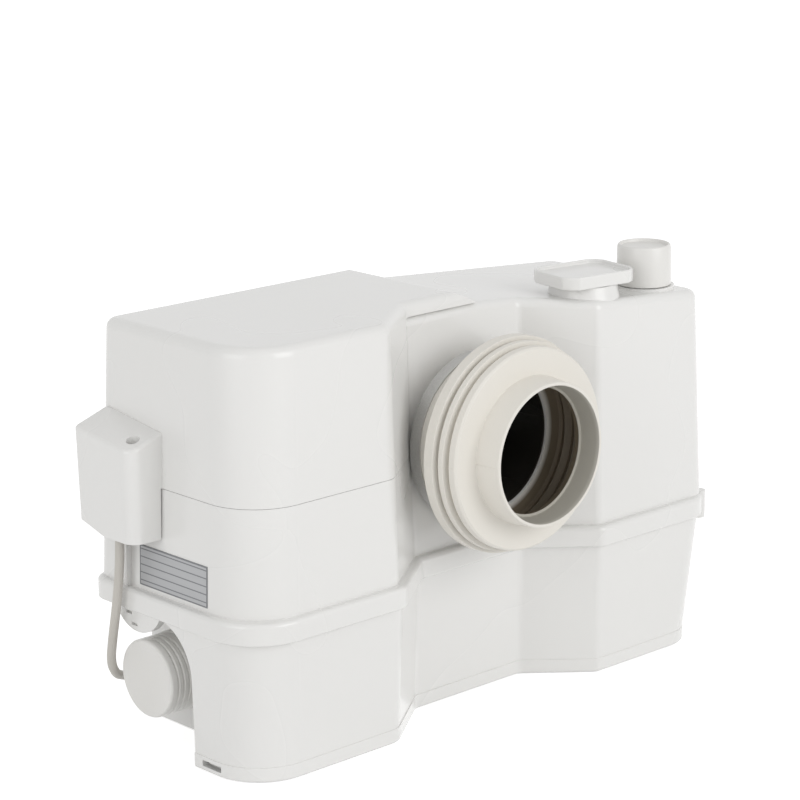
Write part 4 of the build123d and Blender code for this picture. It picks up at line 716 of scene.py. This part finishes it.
def spin_profile(shape, profile, centre, axis, across, steps):
    """Spin a closed profile of (distance along the axis, radius) pairs right round the axis."""
    axis = Vector(axis)
    across = Vector(across)
    centre = Vector(centre)
    verts = [shape.verts.new(centre + axis * along + across * radius) for along, radius in profile]
    edges = [shape.edges.new(pair) for pair in zip(verts, verts[1:] + verts[:1])]
    bmesh.ops.spin(
        shape,
        geom=verts + edges,
        cent=centre,
        axis=axis,
        angle=math.tau,
        steps=steps,
        use_merge=True,
    )
    bmesh.ops.remove_doubles(shape, verts=shape.verts, dist=1e-6)
    bmesh.ops.dissolve_degenerate(shape, edges=shape.edges, dist=1e-7)
    on_axis = [edge for edge in shape.edges if edge.is_wire]
    bmesh.ops.delete(shape, geom=on_axis, context="EDGES")
    bmesh.ops.recalc_face_normals(shape, faces=shape.faces)


print("modelling helpers ready")

# %% [markdown]
# ## Inlet sleeve
# The real sleeve is moulded rubber: a tapered hub, a wide ring, a thin ridge, a broad front disc
# and a short tube for the pan's spigot, with a soft lip and a ribbed fold inside. All of it is one
# profile, listed from the mouth round to the seat on the housing's socket and back inside.

# %% Profile of the sleeve
outer_profile = [
    (-0.1142, 0.0479),
    (-0.1136, 0.0484),
    (-0.0950, 0.0499),
    (-0.0950, 0.0668),
    (-0.0936, 0.0682),
    (-0.0888, 0.0684),
    (-0.0884, 0.0642),
    (-0.0860, 0.0642),
    (-0.0855, 0.0706),
    (-0.0815, 0.0709),
    (-0.0811, 0.0646),
    (-0.0789, 0.0646),
    (-0.0785, 0.0731),
    (-0.0708, 0.0733),
    (-0.0700, 0.0667),
    (-0.0540, 0.0572),
    (-0.0415, 0.0570),
]
inner_profile = [
    (-0.0415, 0.0500),
    (-0.0623, 0.0500),
    (-0.0650, 0.0590),
    (-0.0672, 0.0602),
    (-0.0694, 0.0590),
    (-0.0716, 0.0574),
    (-0.0738, 0.0590),
    (-0.0760, 0.0602),
    (-0.0782, 0.0590),
    (-0.0804, 0.0574),
    (-0.0826, 0.0590),
    (-0.0848, 0.0602),
    (-0.0868, 0.0585),
    (-0.0890, 0.0560),
    (-0.0905, 0.0500),
    (-0.0930, 0.0446),
    (-0.0970, 0.0440),
    (-0.0982, 0.0426),
    (-0.0990, 0.0424),
    (-0.0994, 0.0440),
    (-0.1142, 0.0462),
]
print("points on the profile:", len(outer_profile) + len(inner_profile))

# %% [markdown]
# A moulded sleeve shows where the two halves of its mould met: a hair-thin fin at the left. It is a
# ribbon that follows the outer profile, extruded up by its own width and made solid.

# %% Spin the sleeve and add its mould line
sleeve_centre = Vector((0, 0, inlet_height))
fin_width = 0.0005
fin_depth = 0.0006
fin_stand = 0.00025
sleeve_shape = bmesh.new()
spin_profile(
    sleeve_shape, outer_profile + inner_profile, sleeve_centre, (0, 1, 0), (1, 0, 0), 160
)
fin_verts = [
    sleeve_shape.verts.new((-radius - fin_stand, along, inlet_height - fin_width / 2))
    for along, radius in outer_profile[1:-2]
]
fin_edges = [sleeve_shape.edges.new(pair) for pair in zip(fin_verts, fin_verts[1:])]
ribbon = bmesh.ops.extrude_edge_only(sleeve_shape, edges=fin_edges)
raised = [item for item in ribbon["geom"] if isinstance(item, bmesh.types.BMVert)]
bmesh.ops.translate(sleeve_shape, verts=raised, vec=(0, 0, fin_width))
fin_faces = [item for item in ribbon["geom"] if isinstance(item, bmesh.types.BMFace)]
bmesh.ops.recalc_face_normals(sleeve_shape, faces=fin_faces)
if fin_faces[0].normal.x > 0:
    bmesh.ops.reverse_faces(sleeve_shape, faces=fin_faces)
bmesh.ops.solidify(sleeve_shape, geom=fin_faces, thickness=fin_depth)
bmesh.ops.recalc_face_normals(sleeve_shape, faces=sleeve_shape.faces)
rubber_sleeve = dress("rubber_sleeve", sleeve_shape, "pump_unit", "sleeve_rubber", edge=0.0006)
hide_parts("inlet_sleeve")
print("sleeve faces:", len(rubber_sleeve.data.polygons))

# %% [markdown]
# ## Side cap and top cap
# Both blind caps are turned shapes too. The side cap's face is a shallow bowl with a thin rim, and
# three fine grooves give the fingers a hold. The top cap has a flat sunk top inside its rim.

# %% Side cap
side_cap_centre = (0, 0.033, 0.0477)
side_cap_radius = 0.0262
groove_places = (-0.2165, -0.2120, -0.2075)
groove_depth = 0.0009
groove_half_width = 0.0009
side_cap_profile = [
    (-0.2172, 0.0),
    (-0.2178, 0.0080),
    (-0.2191, 0.0140),
    (-0.2205, 0.0185),
    (-0.2217, 0.0225),
    (-0.2221, 0.0238),
    (-0.2225, 0.0244),
    (-0.2225, 0.0250),
    (-0.2219, 0.0258),
    (-0.2210, side_cap_radius),
]
for groove_x in groove_places:
    side_cap_profile += [
        (groove_x - groove_half_width, side_cap_radius),
        (groove_x, side_cap_radius - groove_depth),
        (groove_x + groove_half_width, side_cap_radius),
    ]
side_cap_profile += [
    (-0.2009, side_cap_radius),
    (-0.2004, 0.0268),
    (-0.1956, 0.0268),
    (-0.1955, 0.0264),
    (-0.1955, 0.0224),
    (-0.2195, 0.0224),
    (-0.2195, 0.0158),
    (-0.2176, 0.0130),
    (-0.2163, 0.0080),
    (-0.2157, 0.0),
]
cap_shape = bmesh.new()
spin_profile(cap_shape, side_cap_profile, side_cap_centre, (1, 0, 0), (0, 1, 0), 96)
grooved_cap = dress("grooved_side_cap", cap_shape, "side_cap_body", "cap_plastic", edge=0.0002)
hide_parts("side_cap")
print("side cap faces:", len(grooved_cap.data.polygons))

# %% [markdown]
# The top cap stands on a pad of the roof. Its rim is narrow and its top lies two millimetres lower.

# %% Top cap
top_cap_centre = (0.171, -0.0388, 0)
top_cap_profile = [
    (0.2610, 0.0193),
    (0.2722, 0.0191),
    (0.2872, 0.0189),
    (0.2888, 0.0184),
    (0.2894, 0.0177),
    (0.2894, 0.0171),
    (0.2888, 0.0166),
    (0.2872, 0.0162),
    (0.2870, 0.0),
    (0.2849, 0.0),
    (0.2849, 0.0172),
    (0.2610, 0.0172),
]
top_cap_shape = bmesh.new()
spin_profile(top_cap_shape, top_cap_profile, top_cap_centre, (0, 0, 1), (1, 0, 0), 96)
rimmed_cap = dress("rimmed_top_cap", top_cap_shape, "top_cap_body", "cap_plastic", edge=0.0003)
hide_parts("top_cap")
print("top cap faces:", len(rimmed_cap.data.polygons))

# %% [markdown]
# ## Outlet lid
# The lid over the outlet is a tray with cut corners. It starts as one flat face: the corners are
# bevelled, the face is extruded to the lid's height, inset, and its middle pushed down. The face
# that stays behind at each step is deleted. The same steps on the underside make room for the
# outlet's collar. The lid sits a few degrees askew.

# %% Outlet lid
lid_length, lid_width, lid_height = 0.061, 0.047, 0.009
lid_corner = 0.009
lid_rim = 0.0022
lid_sink = 0.0028
lid_hollow = 0.0044
lid_hollow_rim = 0.0024
lid_place = Vector((0.107, -0.041, 0.2723))
lid_turn = math.radians(-8)

lid_shape = bmesh.new()
bmesh.ops.create_grid(lid_shape, x_segments=1, y_segments=1, size=0.5)
bmesh.ops.scale(lid_shape, vec=(lid_length, lid_width, 1), verts=lid_shape.verts)
bmesh.ops.bevel(
    lid_shape,
    geom=lid_shape.verts[:],
    offset=lid_corner,
    affect="VERTICES",
    segments=2,
    profile=0.4,
    material=-1,
)
raised = bmesh.ops.extrude_face_region(lid_shape, geom=lid_shape.faces[:])
lid_top = [item for item in raised["geom"] if isinstance(item, bmesh.types.BMFace)][0]
bmesh.ops.translate(lid_shape, verts=lid_top.verts[:], vec=(0, 0, lid_height))
bmesh.ops.recalc_face_normals(lid_shape, faces=lid_shape.faces)
lid_base = min(lid_shape.faces, key=lambda face: face.calc_center_median().z)
for face, rim, sink in ((lid_top, lid_rim, -lid_sink), (lid_base, lid_hollow_rim, lid_hollow)):
    bmesh.ops.inset_region(lid_shape, faces=[face], thickness=rim, use_even_offset=True)
    step_down = bmesh.ops.extrude_face_region(lid_shape, geom=[face])
    floor_face = [item for item in step_down["geom"] if isinstance(item, bmesh.types.BMFace)][0]
    bmesh.ops.translate(lid_shape, verts=floor_face.verts[:], vec=(0, 0, sink))
    bmesh.ops.delete(lid_shape, geom=[face], context="FACES_ONLY")
bmesh.ops.recalc_face_normals(lid_shape, faces=lid_shape.faces)
turn_matrix = Matrix.Rotation(lid_turn, 3, "Z")
bmesh.ops.rotate(lid_shape, verts=lid_shape.verts, cent=(0, 0, 0), matrix=turn_matrix)
bmesh.ops.translate(lid_shape, verts=lid_shape.verts, vec=lid_place)
tray_lid = dress("tray_lid", lid_shape, "lid_body", "body_plastic", edge=0.0008, segments=3)
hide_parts("discharge_lid")
print("lid faces:", len(tray_lid.data.polygons))

# %% [markdown]
# ## Lead bush
# The rubber bush keeps the lead from kinking where it leaves the housing. It is a cone with rings
# cut into it, so that it bends evenly, and it is spun like the caps.

# %% Lead bush
bush_centre = (-0.233, 0.043, 0)
bush_foot = 0.1460
bush_widening = 0.10
bush_profile = [(bush_foot, 0.0034), (bush_foot, 0.0042)]
for ring_low in (0.1475, 0.1510, 0.1545, 0.1580):
    swell = 0.0044 + (ring_low - bush_foot) * bush_widening
    bush_profile += [
        (ring_low, swell),
        (ring_low + 0.0020, swell + 0.0002),
        (ring_low + 0.0023, swell - 0.0006),
        (ring_low + 0.0032, swell - 0.0005),
    ]
bush_profile += [
    (0.1618, 0.0064),
    (0.1658, 0.0065),
    (0.1658, 0.0042),
    (0.1780, 0.0042),
    (0.1780, 0.0034),
]
bush_shape = bmesh.new()
spin_profile(bush_shape, bush_profile, bush_centre, (0, 0, 1), (1, 0, 0), 48)
lead_bush = dress("ringed_lead_bush", bush_shape, "pump_unit", "cord_sheath", edge=0.0002)
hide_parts("strain_relief")
print("bush faces:", len(lead_bush.data.polygons))

# %% [markdown]
# ## Floor and background
# The picture is a product shot on pure white, and only the contact shadow shows. The floor is a
# big pale sheet that glows a little for the rays that see it directly or in a reflection, so it
# adds no light of its own to matt surfaces, and the shadow still darkens it.

# %% Floor
floor_half_width = 6.0
floor_level = -0.0005
floor_grey = (0.86, 0.86, 0.86, 1)
floor_glow = 0.62
floor_shape = bmesh.new()
bmesh.ops.create_grid(floor_shape, x_segments=1, y_segments=1, size=floor_half_width)
bmesh.ops.translate(floor_shape, verts=floor_shape.verts, vec=(0, 0, floor_level))
floor_mesh = bpy.data.meshes.new("floor")
floor_shape.to_mesh(floor_mesh)
floor_shape.free()
floor = bpy.data.objects.new("floor", floor_mesh)
bpy.context.collection.objects.link(floor)


def seen_directly(tree):
    """A socket that is 1 for camera, glossy and transmission rays and 0 for all others."""
    rays = add_node(tree, "ShaderNodeLightPath", (-900, 200))
    seen = add_node(tree, "ShaderNodeMath", (-700, 200), operation="MAXIMUM")
    seen_or_through = add_node(tree, "ShaderNodeMath", (-500, 200), operation="MAXIMUM")
    join(
        tree,
        [
            (rays.outputs["Is Camera Ray"], seen.inputs[0]),
            (rays.outputs["Is Glossy Ray"], seen.inputs[1]),
            (seen.outputs[0], seen_or_through.inputs[0]),
            (rays.outputs["Is Transmission Ray"], seen_or_through.inputs[1]),
        ],
    )
    return seen_or_through.outputs[0]


floor_material = bpy.data.materials.new("white_floor")
floor_material.use_nodes = True
floor_tree = floor_material.node_tree
floor_tree.nodes.clear()
floor_output = add_node(floor_tree, "ShaderNodeOutputMaterial", (400, 0))
matte = add_node(floor_tree, "ShaderNodeBsdfDiffuse", (-200, 100), {"Color": floor_grey})
glow = add_node(floor_tree, "ShaderNodeEmission", (-200, -50), {"Strength": floor_glow})
dark = add_node(floor_tree, "ShaderNodeEmission", (-200, -200), {"Strength": 0.0})
choose = add_node(floor_tree, "ShaderNodeMixShader", (0, -50))
both = add_node(floor_tree, "ShaderNodeAddShader", (200, 0))
join(
    floor_tree,
    [
        (seen_directly(floor_tree), choose.inputs[0]),
        (dark.outputs[0], choose.inputs[1]),
        (glow.outputs[0], choose.inputs[2]),
        (matte.outputs[0], both.inputs[0]),
        (choose.outputs[0], both.inputs[1]),
        (both.outputs[0], floor_output.inputs[0]),
    ],
)
floor_mesh.materials.append(floor_material)
print("floor in metres:", 2 * floor_half_width)

# %% [markdown]
# The world does two jobs. It lights the object evenly and softly from all round, and behind the
# object it is plain white, with a strength of exactly 1 for the rays that see it directly.

# %% World
room_strength = 0.60
world = bpy.data.worlds.new("studio")
bpy.context.scene.world = world
world.use_nodes = True
sky = world.node_tree
sky.nodes.clear()
sky_output = add_node(sky, "ShaderNodeOutputWorld", (400, 0))
room_light = add_node(sky, "ShaderNodeBackground", (-200, 0), {"Strength": room_strength})
backdrop = add_node(sky, "ShaderNodeBackground", (-200, -200), {"Strength": 1.0})
for background in (room_light, backdrop):
    background.inputs["Color"].default_value = (1, 1, 1, 1)
sky_choose = add_node(sky, "ShaderNodeMixShader", (100, 0))
join(
    sky,
    [
        (seen_directly(sky), sky_choose.inputs[0]),
        (room_light.outputs[0], sky_choose.inputs[1]),
        (backdrop.outputs[0], sky_choose.inputs[2]),
        (sky_choose.outputs[0], sky_output.inputs[0]),
    ],
)
print("room light:", room_strength)

# %% [markdown]
# ## Lamps
# In the picture the front and the right are the brightest, the left is a little darker, and level
# surfaces are darker still. So one lamp stands in front, a little to the right, a weaker one stands
# to the left, and both are low. Big area lamps keep the light soft.


# %% Lamps
def add_lamp(name, place, target, size, power):
    """A square area lamp turned towards a target."""
    lamp_data = bpy.data.lights.new(name, "AREA")
    lamp_data.size = size
    lamp_data.energy = power
    lamp = bpy.data.objects.new(name, lamp_data)
    lamp.location = place
    lamp.rotation_euler = (Vector(target) - Vector(place)).to_track_quat("-Z", "Y").to_euler()
    bpy.context.collection.objects.link(lamp)
    return lamp


middle = (0.0, 0.0, 0.15)
lamps = [
    add_lamp("right_lamp", (0.5, -2.3, 1.1), middle, 1.6, 21.0),
    add_lamp("left_lamp", (-2.1, -0.3, 0.7), middle, 1.4, 9.0),
]
bpy.context.scene.view_settings.view_transform = "Standard"
print("lamp power in watts:", sum(lamp.data.energy for lamp in lamps))
